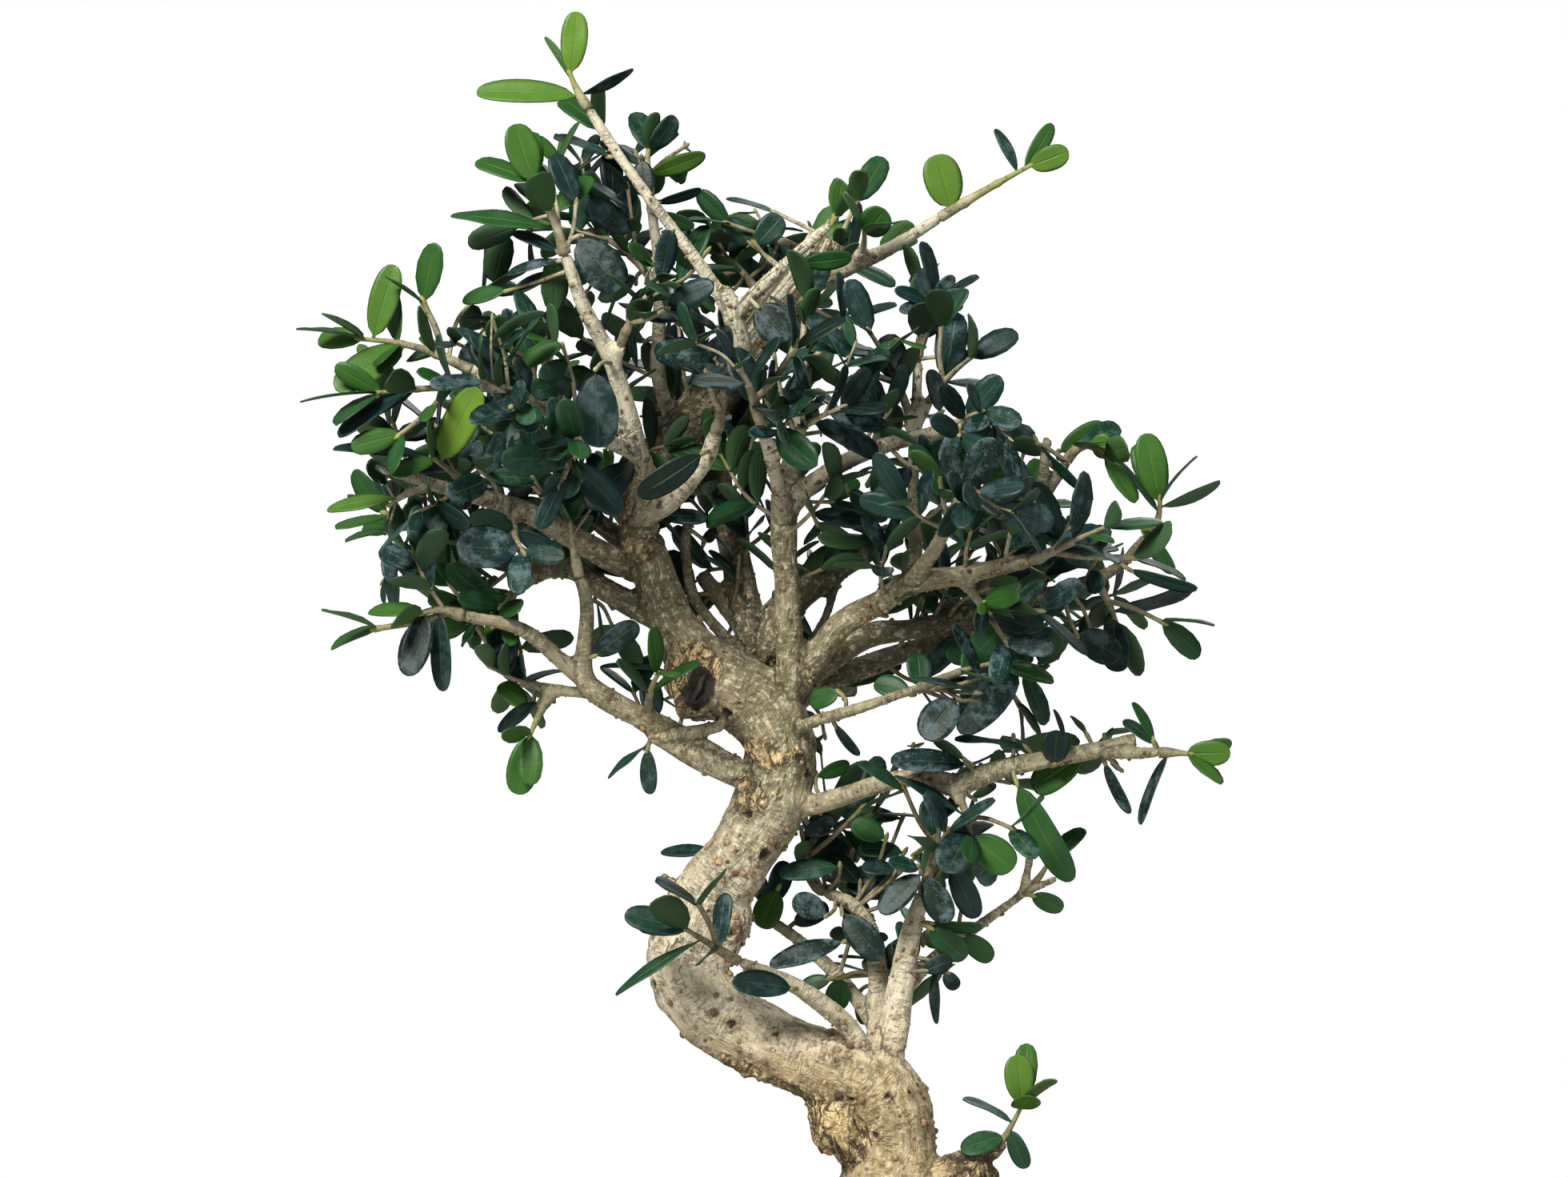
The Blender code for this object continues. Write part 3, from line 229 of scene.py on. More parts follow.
limbs = {
    "trunk": (10, [
        (33, 0, 34, 13), (33, 0, 48, 18), (33, 0, 58, 18.5), (33, 0, 68, 16.5), (32.5, 0, 84, 14.2),
        (32, 0, 98, 13), (34, -1, 110.5, 10.1), (31.6, -2, 119, 10.3), (26, -2.5, 124.8, 9.9),
        (17.4, -2, 127.6, 9.3), (7.8, -1, 130.6, 9), (-2, 0.5, 135, 9.1), (-12.6, 2, 142, 9.6),
        (-18.6, 3, 153, 9.8), (-15.4, 3, 165, 9.4), (-9.8, 2, 174.6, 8.8), (-2.4, 1, 184, 8.7),
        (2.8, 0, 194, 9.2), (5.6, -0.5, 204, 8.3), (3.8, -0.5, 211, 9.3), (0.4, 0, 217.5, 10),
        (-7, -0.5, 223, 9.2), (-14.5, -1.5, 228.5, 7.8), (-20.6, -1, 236.5, 6), (-24.7, 0, 245.6, 5.4),
        (-27.4, 1, 253.2, 5.3), (-31, 1.5, 260, 4.8)]),
    "limb_left_front": (6, [
        (-29, 1, 252, 3.6), (-36, -1, 254.2, 3.4), (-48, -5, 260.6, 3), (-61, -10, 267.2, 2.6),
        (-75, -16, 271, 1.9), (-93.6, -22, 276.8, 1.3)]),
    "limb_left_back": (6, [
        (-25, 0, 239, 3.6), (-31, 1, 242.4, 3.4), (-40, 5, 247.4, 3), (-47, 9, 251.8, 2.8),
        (-61, 15, 252.8, 2.4), (-71, 19, 255, 2), (-76.4, 22, 258, 1.6)]),
    "limb_pale": (8, [
        (-31, 1, 257, 3.8), (-27.8, -4, 267.8, 3.4), (-30, -12, 280.2, 2.9), (-36, -19, 302, 2.3),
        (-43, -24, 316, 2), (-47.6, -27, 329, 1.7)]),
    "limb_hook": (6, [
        (-28.5, -5, 265, 2.8), (-22, -10, 269, 2.6), (-13.5, -16, 278.6, 2.2), (-11, -18, 285.4, 2)]),
    "limb_fibrous": (8, [
        (-30.5, 1, 258, 5), (-30, 4, 268, 5.4), (-26, 9, 279, 5.6), (-11.4, 15, 297, 6),
        (1.4, 19, 313.4, 6), (12, 21, 326.6, 5.8), (17, 21, 336, 5.4)]),
    "fork_stem": (8, [
        (-9, 15, 298, 2.6), (-3.5, 6, 299, 2.6), (-4, -2, 306, 2.5), (-6.6, -5.5, 314, 2.5),
        (-9, -7, 322, 2.1)]),
    "fork_left": (6, [
        (-7, -5.5, 315, 1.9), (-14.6, -8, 327, 1.8), (-32, -11, 350.2, 1.6), (-42.5, -12, 366, 1.4)]),
    "fork_right": (6, [
        (-7, -5.5, 314.5, 1.9), (-1, -8, 320.6, 1.8), (9, -10, 330, 1.6), (17.4, -11, 337.4, 1.3)]),
    "limb_top_right": (6, [
        (11, 19, 322, 2.4), (18, 11, 326, 2.3), (32, 4, 332, 2), (45, -1, 339.8, 1.6)]),
    "limb_top": (6, [
        (-20, 12, 286, 2.2), (-25.5, 9, 300, 2), (-25, 4, 325, 1.7), (-27.5, 2, 344, 1.4)]),
    "limb_upper_left": (6, [
        (-32, -14, 286, 2.2), (-44, -19, 290, 2.1), (-58, -21, 296, 1.9), (-71, -20, 301, 1.6)]),
    "limb_centre": (8, [
        (5, -2, 216, 3.9), (7.4, -4.5, 228, 3.7), (6.6, -6.5, 248, 3.2), (6, -8, 268, 3.6),
        (9, -9, 284, 2.4), (10, -11, 296, 2)]),
    "limb_centre_dark": (6, [
        (1, 3, 217, 3.8), (0.8, 8, 229, 3.5), (-5.4, 15, 256, 2.8), (-9, 21, 274, 2.2)]),
    "stub_dark": (6, [(1, 6, 225, 2.6), (-4, 11, 236, 2.4), (-15, 16, 250.8, 2.1)]),
    "limb_thin": (6, [
        (-1, 4, 222, 1.9), (-6, 7, 231.5, 1.7), (-16.2, 8, 244, 1.6), (-18.6, 7, 255, 1.5),
        (-18.2, 6, 265, 1.4)]),
    "limb_right_front": (8, [
        (6, -1, 217, 4), (12.6, -3, 228, 3.6), (20.8, -7, 238.4, 3.4), (29, -12, 243.2, 3.2),
        (38, -17, 248.6, 3), (50, -24, 250.4, 2.6), (66, -32, 254, 1.9)]),
    "limb_right_middle": (6, [
        (7, 2, 218, 4), (14.5, 4, 227.6, 3.6), (26.6, 8, 235.2, 3.3), (38, 11, 236.8, 3),
        (50, 13, 239.6, 2.6), (70, 17, 245, 2)]),
    "limb_right_back": (6, [
        (5, 4, 214, 3.8), (12, 10, 221.4, 3.3), (32.8, 24, 229.6, 2.8), (44, 31, 233, 2.4),
        (60, 39, 239, 1.8)]),
    "twig_right_thin": (6, [
        (6, -4, 210, 2), (13, -10, 214, 1.8), (24, -17, 217.4, 1.6), (39, -22, 222.6, 1.3)]),
    "limb_low_right": (6, [
        (5, 0, 191, 3), (16.6, -5, 194, 2.6), (32.2, -11, 199.2, 2.4), (42, -14, 200.2, 2.5),
        (48, -15.5, 198.4, 2.9), (61, -18, 203, 2.6), (84, -22, 207.6, 2.2), (92.6, -23, 210.4, 1.7)]),
    "twig_low_right": (6, [(82, -21.5, 207, 1.8), (91, -25, 206.6, 1.6), (98, -27, 206.8, 1.5)]),
    "limb_low_left": (8, [
        (1, 0, 197, 3.6), (-9, -3, 203.6, 3.3), (-22.4, -6, 211.2, 3.2), (-32.8, -9, 216.8, 3),
        (-41.2, -11, 221.8, 2.9), (-43.8, -12, 227, 2.4), (-42.8, -13, 242, 2), (-44.6, -14, 250, 1.7)]),
    "twig_low_left_up": (6, [
        (-42, -11, 223, 2.4), (-49, -12, 229, 2.3), (-58.8, -15, 237, 2), (-73, -20, 240.4, 1.5)]),
    "twig_low_left": (6, [
        (-41, -10, 221, 1.8), (-50, -5, 221.8, 1.6), (-60, 1, 224.4, 1.4), (-67.4, 5, 233, 1.2)]),
    "limb_rosette": (6, [
        (37, -16.5, 248, 2.2), (38.6, -15, 257, 2), (38, -13, 268, 1.8), (38.6, -10, 288, 1.6),
        (39.4, -9, 304, 1.3)]),
    "limb_upper_right": (6, [
        (6.4, -8, 266, 2.8), (14, -13, 274, 2.4), (27, -19, 281, 2.2), (44, -23, 285.4, 2),
        (62.8, -25, 287.4, 1.6)]),
    "limb_right_rise": (6, [
        (49, 13, 239.4, 2.2), (58, 13, 249, 2), (67, 10, 263, 1.9), (77, 6, 279, 1.5)]),
    "twig_right_stub": (6, [(69, 9.4, 267, 1.8), (71, 5, 276, 1.5), (72, 4, 285, 1.4)]),
    "limb_right_far": (6, [
        (68, 16.6, 244.4, 1.9), (80, 15, 248, 1.8), (90, 12, 252.4, 1.6), (97, 10, 260, 1.3)]),
    "limb_back_top": (6, [(3, 20, 315, 2.4), (7, 33, 319, 2.2), (10, 50, 324, 1.7)]),
    "limb_back_centre": (6, [(-7, 18, 266, 2.3), (-12, 34, 281, 2), (-17, 52, 291, 1.6)]),
    "limb_back_right": (6, [(42, 30, 232.4, 2.2), (49, 43, 243, 2), (52, 58, 253, 1.6)]),
    "limb_back_left": (6, [
        (-27, 2, 252, 3), (-36, 15, 260, 2.6), (-50, 32, 270, 2.2), (-63, 44, 278, 1.7)]),
    "limb_front_left": (6, [(-30, -12, 280, 2.2), (-41, -28, 285, 2), (-52, -44, 290, 1.5)]),
    "limb_front_centre": (6, [(6.2, -8, 263, 2.4), (4, -22, 275, 2.1), (0, -41, 288, 1.6)]),
    "limb_front_right": (6, [(37, -17, 248.4, 2.2), (43, -34, 257, 2), (47, -51, 266, 1.6)]),
    "low_tree_right": (8, [
        (30, -2, 126, 4.4), (33, -3, 137, 4), (35.4, -3, 150, 3.3), (38, -4, 163, 2.6),
        (40.6, -6, 171, 2)]),
    "low_tree_centre": (6, [
        (29, 1, 127, 3.6), (30, 4, 141, 3), (28.6, 6, 158, 2.4), (24, 7, 167, 2), (16, 8, 171, 1.6)]),
    "low_tree_left": (6, [
        (26, -4, 128, 3.2), (22, -9, 138, 2.7), (10, -14, 148, 2.2), (-5, -17, 155, 1.5)]),
    "low_tree_inner": (6, [
        (30, 3, 136, 2.2), (21, 10, 148, 2), (10, 16, 158, 1.7), (1, 20, 164, 1.4)]),
    "low_tree_far": (6, [(35, -2, 145, 2), (44, 2, 155, 1.7), (57, 5, 164, 1.4), (66, 5, 170.6, 1.2)]),
    "base_stub": (8, [(36, -2, 92, 9), (47, -3, 97.6, 8), (56.6, -4, 101.4, 6.4)]),
    "root_front_left": (6, [(30, 4, 62, 8), (18, -12, 57, 6.5), (4, -24, 52.5, 4.4), (-9, -31, 47.5, 2.4)]),
    "root_front_right": (6, [(34, 4, 62, 8), (44, -14, 57, 6.2), (52, -27, 52.5, 4), (60, -38, 47.5, 2.2)]),
    "root_left": (6, [(38, 0, 62, 8), (14, 3, 57, 6.8), (-3, 7, 53, 4.6), (-20, 8, 48, 2.4)]),
    "root_back": (6, [(34, -4, 62, 8), (29, 16, 57, 6.6), (24, 31, 52.5, 4.2), (16, 42, 47.5, 2.2)]),
    "root_right": (6, [(28, -2, 62, 8), (52, 5, 57, 6.4), (66, 12, 52.5, 4.2), (77, 20, 47.5, 2.2)]),
}

# Leafy shoots: limb, place along it, end of the shoot, rise of its bow, side shoots, youth of its leaves

sprays = {
    "spray_crown_tip": ("fork_left", 1, (-47, -12.5, 374.5), 0, 0, 0.8),
    "spray_crown_high": ("limb_top", 1, (-28, 2, 357), 0, 1, 0.2),
    "spray_crown_left": ("limb_pale", 1, (-56, -28, 347), 3, 1, 0.3),
    "spray_crown_front": ("limb_pale", 0.62, (-24, -36, 322), 2, 1, 0.1),
    "spray_crown_back": ("limb_top", 0.62, (-46, 20, 338), 3, 1, 0.25),
    "spray_crown_middle": ("limb_fibrous", 0.93, (-3, 26, 335), 2, 1, 0.2),
    "spray_crown_rear": ("limb_fibrous", 0.72, (-14, 36, 335), 3, 1, 0.2),
    "spray_top_right_tip": ("limb_top_right", 1, (67.5, -6, 352.5), 0, 0, 0.8),
    "spray_top_right": ("limb_top_right", 0.42, (26, -5, 336), 0, 0, 0.3),
    "spray_rosette": ("limb_rosette", 1, (43.5, -9, 318), 0, 1, 0.1),
    "spray_rosette_low": ("limb_rosette", 0.72, (52, -18, 304), 1, 1, 0.1),
    "spray_rosette_inner": ("limb_rosette", 0.66, (27, -27, 310), 2, 1, 0.1),
    "spray_heart": ("limb_centre", 1, (11, -13, 319), 0, 1, 0.1),
    "spray_heart_front": ("limb_hook", 1, (-9, -30, 301), 2, 1, 0.05),
    "spray_front_centre": ("limb_front_centre", 1, (-5, -61, 300), 2, 1, 0.05),
    "spray_front_centre_right": ("limb_front_centre", 0.6, (20, -43, 291), 2, 1, 0.05),
    "spray_dark_centre": ("limb_centre_dark", 1, (-10, 30, 298), 2, 1, 0.15),
    "spray_back_top": ("limb_back_top", 1, (14, 67, 333), 3, 1, 0.35),
    "spray_back_top_right": ("limb_back_top", 0.6, (31, 42, 334), 3, 1, 0.25),
    "spray_back_centre": ("limb_back_centre", 1, (-22, 70, 300), 3, 1, 0.35),
    "spray_left_tip": ("limb_upper_left", 1, (-98, -22, 308.5), 2, 1, 0.4),
    "spray_left_high": ("limb_upper_left", 0.45, (-54, -26, 308), 2, 1, 0.2),
    "spray_left_middle": ("limb_upper_left", 0.75, (-93, -30, 295), -1, 1, 0.3),
    "spray_left_front": ("limb_front_left", 1, (-66, -61, 297), 2, 1, 0.15),
    "spray_left_front_low": ("limb_front_left", 0.55, (-48, -46, 272), -2, 1, 0.15),
    "spray_left_bright": ("limb_left_front", 0.62, (-80, -27, 279), 2, 0, 0.35),
    "spray_left_long": ("limb_left_front", 0.82, (-92, -6, 268), -1, 0, 0.3),
    "spray_left_under": ("limb_left_front", 0.5, (-58, -25, 256), -2, 0, 0.2),
    "spray_left_back": ("limb_left_back", 1, (-93, 27, 262), 2, 1, 0.3),
    "spray_left_back_low": ("limb_left_back", 0.55, (-72, -3, 239), -2, 1, 0.25),
    "spray_rear_left": ("limb_back_left", 1, (-78, 60, 286), 3, 1, 0.35),
    "spray_rear_left_high": ("limb_back_left", 0.7, (-54, 45, 300), 3, 1, 0.25),
    "spray_low_left_tip": ("twig_low_left_up", 1, (-83, -23, 241), 1, 1, 0.3),
    "spray_low_left_high": ("limb_low_left", 1, (-47, -15, 263), 0, 0, 0.2),
    "spray_low_left_back": ("twig_low_left", 1, (-78, 10, 248), 2, 1, 0.3),
    "spray_low_left_hanging": ("twig_low_left", 0.35, (-57, -9, 211), -3, 0, 0.4),
    "spray_low_left_inner": ("limb_low_left", 0.42, (-25, -25, 226), 0, 0, 0.4),
    "spray_right_front": ("limb_right_front", 1, (84, -41, 262), 2, 1, 0.15),
    "spray_right_front_low": ("limb_right_front", 0.76, (60, -37, 234), -3, 1, 0.1),
    "spray_right_near": ("limb_front_right", 1, (52, -67, 270), 3, 1, 0.05),
    "spray_right_high": ("limb_upper_right", 0.7, (54, -42, 290), 1, 1, 0.1),
    "spray_right_rise": ("limb_right_rise", 1, (86, -2, 280), 1, 0, 0.4),
    "spray_right_far_tip": ("limb_right_far", 1, (100.5, 8, 269), 0, 0, 0.3),
    "spray_right_far": ("limb_right_far", 0.5, (90, 19, 239), -2, 1, 0.2),
    "spray_right_middle": ("limb_right_middle", 0.7, (66, 4, 226), -3, 1, 0.15),
    "spray_right_back": ("limb_right_back", 1, (78, 47, 243), 2, 1, 0.25),
    "spray_rear_right": ("limb_back_right", 1, (59, 73, 265), 3, 1, 0.35),
    "spray_right_thin": ("twig_right_thin", 1, (58, -27, 229), 1, 0, 0.3),
    "spray_low_right_tip": ("twig_low_right", 1, (105, -29, 206.6), 0, 0, 0.4),
    "spray_low_right_knob": ("limb_low_right", 0.5, (52, -22, 186), -1, 1, 0.2),
    "spray_low_tree_right": ("low_tree_right", 1, (45, -12, 190), 2, 2, 0.15),
    "spray_low_tree_centre": ("low_tree_centre", 1, (19, 20, 190), 0, 2, 0.2),
    "spray_low_tree_front": ("low_tree_left", 1, (-18, -20, 163), 1, 1, 0.1),
    "spray_low_tree_far": ("low_tree_far", 1, (72, 2, 178), 1, 0, 0.25),
    "spray_base_sprout": ("base_stub", 0.8, (65.4, -7, 119), -1, 0, 0.4),
}

# Single leaves that make the outline: place along the stem, tip, width in millimetres, roll, youth

keyLeaves = {
    "spray_crown_tip": [
        (1, (-45, -14, 389.8), 6.8, 0, 0.85), (0.75, (-52.5, -9, 384.6), 3.8, 50, 0.7),
        (0.35, (-70, -14, 370.8), 7.4, 20, 0.75), (0.4, (-31, -9, 375), 4.5, 75, 0.05)],
    "spray_crown_high": [
        (0.5, (-14, -4, 355), 5.5, 50, 0.75), (0.97, (-21, 1, 365), 6.5, 50, 0.1)],
    "spray_crown_left": [
        (0.95, (-60, -30, 360.6), 8.4, 10, 0.7), (0.3, (-75.4, -29, 339.6), 6.4, 40, 0.4)],
    "spray_top_right_tip": [
        (1, (76.5, -9, 355.6), 6.4, 30, 0.85), (0.85, (59.4, -4, 362), 4.2, 40, 0.2),
        (0.92, (73.6, -2, 363), 4.4, 20, 0.5), (0.12, (44, -5, 355), 10, 10, 0.75)],
    "spray_top_right": [(0.8, (31, -8, 341), 8, 20, 0.35)],
    "spray_left_tip": [
        (0.9, (-89.6, -24, 326.4), 7.4, 0, 0.65), (0.95, (-113.6, -24, 312), 5.5, 70, 0.3),
        (0.6, (-104, -29, 297), 9.4, 15, 0.65)],
    "spray_left_middle": [
        (0.97, (-111.6, -38, 294), 5.5, 75, 0.35), (0.7, (-103, -36, 285.4), 7, 40, 0.08)],
    "spray_left_bright": [(0.75, (-69, -33, 295.6), 9, 0, 0.95), (0.95, (-104, -30, 283), 7, 50, 0.15)],
    "spray_left_long": [(0.6, (-107.8, -8, 267.6), 5.5, 35, 0.75)],
    "spray_left_under": [(0.9, (-74, -28, 257), 11, 5, 0.12)],
    "spray_low_left_tip": [(0.9, (-86, -28, 226), 8, 10, 0), (0.55, (-78, -24, 222), 6, 30, 0.05)],
    "spray_low_left_hanging": [(0.95, (-60, -10, 196), 8, 0, 0.5)],
    "spray_right_rise": [(0.6, (88, -1, 283), 6.4, 20, 0.75)],
    "spray_right_far_tip": [
        (0.9, (97, 7, 286), 8, 0, 0.75), (0.7, (89, 8, 280.6), 5, 55, 0.2),
        (0.85, (115.8, 6, 273), 5, 70, 0.3)],
    "spray_right_far": [(0.7, (110, 18, 246), 5.5, 60, 0.15), (0.9, (90, 18, 226), 8, 20, 0.05)],
    "spray_low_right_tip": [(0.85, (115, -31, 207), 6.4, 20, 0.8), (0.3, (92, -30, 190), 5, 60, 0.1)],
    "spray_low_right_knob": [
        (0.4, (34, -20, 202), 7, 60, 0), (0.8, (46, -30, 178), 10, 5, 0.05),
        (0.97, (62, -24, 178), 9, 10, 0.5)],
    "spray_right_middle": [(0.95, (50, -6, 212), 9, 10, 0.05)],
    "spray_low_tree_front": [(0.97, (-33, -22, 167), 7.5, 20, 0.1), (0.7, (-36, -21, 148), 5, 50, 0.1)],
    "spray_base_sprout": [
        (0.95, (64, -8, 131), 7.6, 5, 0.9), (0.85, (67, -11, 121), 8, 50, 0.6),
        (0.5, (51, -7, 121), 5, 60, 0.15), (0.35, (66, -8, 103), 5, 20, 0.3),
        (0.15, (50, -8, 108), 7, 30, 0.1)],
}

bareSprays = ("spray_crown_tip", "spray_top_right_tip")

# How leaves are placed, as the solids have them

foliage = {
    "seed": 41,
    "gap": 0.3 * mm,
    "clearance": 0.35 * mm,
    "testThickness": 0.9 * mm,
    "taper": 0.6,
    "cup": 0.1,
    "spacing": 9.5 * mm,
    "firstLeaf": 4 * mm,
    "lastLeaf": 0.97,
    "length": (12.5 * mm, 18.5 * mm),
    "ratio": (0.40, 0.52),
    "droop": (0.02, 0.2),
    "spread": (46, 72),
    "tipSpread": (28, 44),
    "roll": 0.5,
    "keyDroop": 0.12,
    "tries": 7,
    "stemThickest": 1.4 * mm,
    "stemTip": 0.5 * mm,
    "stemSpans": 3,
    "stemSides": 4,
    "stemTries": 14,
    "straightStart": 2 * mm,
    "pegBeyondBark": 2 * mm,
    "shootLength": (13 * mm, 18 * mm),
    "filling": False,
}
light = Vector((0.1, -0.5, 0.85)).normalized()      # the side that leaves turn their faces to


def placeAlong(path, share):
    lengths = [0.0]
    for (start, _), (stop, _) in zip(path, path[1:]):
        lengths.append(lengths[-1] + (stop - start).length)
    wanted = min(max(share, 0.0), 1.0) * lengths[-1]
    for index in range(len(path) - 1):
        if wanted <= lengths[index + 1] or index == len(path) - 2:
            span = lengths[index + 1] - lengths[index]
            t = (wanted - lengths[index]) / span
            (start, thick), (stop, thin) = path[index], path[index + 1]
            return start.lerp(stop, t), (stop - start).normalized(), thick + (thin - thick) * t


def pathLength(path):
    return sum((stop - start).length for (start, _), (stop, _) in zip(path, path[1:]))


def placeAt(path, distance):
    centre, _, radius = placeAlong(path, distance / pathLength(path))
    return centre, radius


def bladeTest(base, tip, width, thickness, face, droop, sides):
    # the plain blade that keeps room for a leaf
    length = (tip - base).length
    along = (tip - base) / length
    across = face.cross(along).normalized()
    up = along.cross(across)
    bm = bmesh.new()
    bmesh.ops.create_uvsphere(bm, u_segments=sides, v_segments=2, radius=1)
    for vert in bm.verts:
        x, y, z = vert.co
        share = (1 + y) / 2
        half = 0.61 * width * (foliage["taper"] + (1 - foliage["taper"]) * share)
        lift = thickness / 2 * z + foliage["cup"] * width * x * x - droop * length * share * (share - 0.4)
        vert.co = base + along * (share * length) + across * (x * half) + up * lift
    return bm


def pathTest(path, sides=6, spare=0.0):
    bm = bmesh.new()
    rings = []
    for index, (centre, radius) in enumerate(path):
        ahead = path[min(index + 1, len(path) - 1)][0] - path[max(index - 1, 0)][0]
        turn = ahead.to_track_quat("Z", "Y").to_matrix().to_4x4()
        ring = bmesh.ops.create_circle(bm, segments=sides, radius=radius + spare,
                                       matrix=Matrix.Translation(centre) @ turn)["verts"]
        rings.append(ring)
    for ring, following in zip(rings, rings[1:]):
        for k in range(sides):
            bm.faces.new((ring[k], ring[(k + 1) % sides], following[(k + 1) % sides], following[k]))
    return bm


class Room:
    # what is already in place, so that what comes later keeps clear of it
    cell = 20 * mm

    def __init__(self):
        self.cells = {}

    def add(self, owner, bm):
        low, high = self.extent(bm)
        solid = (owner, low, high, BVHTree.FromBMesh(bm))
        bm.free()
        for place in self.placesOf(low, high):
            self.cells.setdefault(place, []).append(solid)

    @staticmethod
    def extent(bm):
        low = [min(vert.co[axis] for vert in bm.verts) for axis in range(3)]
        high = [max(vert.co[axis] for vert in bm.verts) for axis in range(3)]
        return low, high

    def placesOf(self, low, high):
        spans = [range(int(low[k] // self.cell), int(high[k] // self.cell) + 1) for k in range(3)]
        return [(x, y, z) for x in spans[0] for y in spans[1] for z in spans[2]]

    def blocked(self, bm, skip=()):
        low, high = self.extent(bm)
        tree = BVHTree.FromBMesh(bm)
        bm.free()
        seen = set()
        for place in self.placesOf(low, high):
            for solid in self.cells.get(place, ()):
                owner, lowest, highest, other = solid
                if id(other) in seen or owner in skip:
                    continue
                seen.add(id(other))
                if any(low[k] > highest[k] or high[k] < lowest[k] for k in range(3)):
                    continue
                if tree.overlap(other):
                    return True
        return False


def bowPath(start, stop, aim, rise, sway, radii, count):
    reach = (stop - start).length
    middle = start + aim * (reach * 0.45) + Vector((0, 0, rise)) * mm + sway
    path = []
    for index in range(count + 1):
        t = index / count
        centre = start * (1 - t) ** 2 + middle * (2 * t * (1 - t)) + stop * t * t
        path.append((centre, radii[0] + (radii[1] - radii[0]) * t))
    return path


def sideways(direction):
    helper = Vector((0, 0, 1)) if abs(direction.z) < 0.9 else Vector((1, 0, 0))
    first = direction.cross(helper).normalized()
    return first, direction.cross(first).normalized()


def trimStart(path, distance):
    total = pathLength(path)
    centre, _, radius = placeAlong(path, distance / total)
    walked = 0.0
    rest = []
    for (start, _), (stop, thin) in zip(path, path[1:]):
        walked += (stop - start).length
        if walked > distance + 0.5 * mm:
            rest.append((stop, thin))
    return [(centre, radius)] + rest


def aboveBark(point, first, last):
    _, share = intersect_point_line(point, first[0], last[0])
    share = min(max(share, 0), 1)
    centre = first[0].lerp(last[0], share)
    return (point - centre).length - first[1] - (last[1] - first[1]) * share


def barkDistance(path, limbPath):
    distance = foliage["gap"]
    while distance < pathLength(path):
        point = placeAt(path, distance)[0]
        if all(aboveBark(point, *ends) > foliage["pegBeyondBark"] for ends in zip(limbPath, limbPath[1:])):
            break
        distance += 0.5 * mm
    return distance


def layStems(limbPaths, room):
    stems = {}
    feet = {}
    for name, (limb, share, end, rise, _, _) in sprays.items():
        start, aim, radius = placeAlong(limbPaths[limb], share)
        stop = Vector(end) * mm
        thick = min(radius * 0.96, foliage["stemThickest"])
        if share < 1:
            aim = ((stop - start).normalized() * 1.3 + aim * 0.5).normalized()
            origin = start
        else:
            origin = start + aim * foliage["straightStart"]
        first, second = sideways((stop - start).normalized())
        for turn in range(foliage["stemTries"]):
            angle = turn * 2.4
            sway = (first * math.cos(angle) + second * math.sin(angle)) * (0.8 * turn * mm)
            path = bowPath(origin, stop, aim, rise, sway, (thick, foliage["stemTip"]), 12)
            bark = barkDistance(path, limbPaths[limb]) if share < 1 else 0
            stem = trimStart(path, bark + foliage["gap"]) if share < 1 else path
            if not room.blocked(pathTest(trimStart(stem, 1.2 * mm), spare=foliage["clearance"])):
                break
        spans = foliage["stemSpans"]
        stem = [placeAlong(stem, index / spans)[::2] for index in range(spans + 1)]
        feet[name] = (start, thick)
        if share < 1:
            room.add("wood", pathTest([(start, thick), placeAt(path, bark)], foliage["stemSides"]))
        else:
            stem = [(start + aim * foliage["gap"], thick)] + stem
        stems[name] = stem
        room.add(name, pathTest(stem))
    return stems, feet


def laySideShoots(name, stem, count, draw, room):
    shoots = []
    for number in range(count):
        for _ in range(foliage["tries"]):
            share = 0.3 + 0.35 * number + draw.uniform(-0.08, 0.12)
            centre, aim, radius = placeAlong(stem, share)
            first, second = sideways(aim)
            angle = draw.uniform(0, 2 * math.pi)
            out = first * math.cos(angle) + second * math.sin(angle)
            heading = (aim * 0.7 + out * 0.9 + light * 0.2).normalized()
            reach = draw.uniform(*foliage["shootLength"])
            bend = aim * (0.15 * reach)
            shoot = [(centre, radius * 0.8), (centre + heading * reach * 0.5, radius * 0.72),
                     (centre + heading * reach + bend, radius * 0.6)]
            if not room.blocked(pathTest(shoot, spare=foliage["clearance"]), skip=(name,)):
                room.add(name, pathTest(shoot))
                shoots.append(shoot)
                break
    return shoots


def tryLeaf(name, base, tip, width, face, droop, room, youth, sides=6):
    spare = foliage["clearance"]
    outward = (tip - base).normalized()
    if foliage["filling"]:
        across = face.cross(outward).normalized() * (width * 0.45)
        middle = base.lerp(tip, 0.55)
        if not all(fitsPicture(point) for point in (tip, middle, middle + across, middle - across)):
            return None
    test = bladeTest(base + outward * 2.2 * mm, tip + outward * spare, width + 2 * spare,
                     foliage["testThickness"] + 2 * spare, face, droop, sides)
    if room.blocked(test):
        return None
    room.add(name, bladeTest(base, tip, width, foliage["testThickness"], face, droop, sides))
    return base, tip, width, face, droop, youth


def facing(base, tip, roll):
    # the way a leaf's upper side looks: to the picture, rolled round the leaf's length
    along = (tip - base).normalized()
    front = Vector((0, -1, 0.25))
    face = (front - along * front.dot(along)).normalized()
    return Matrix.Rotation(math.radians(roll), 3, along) @ face


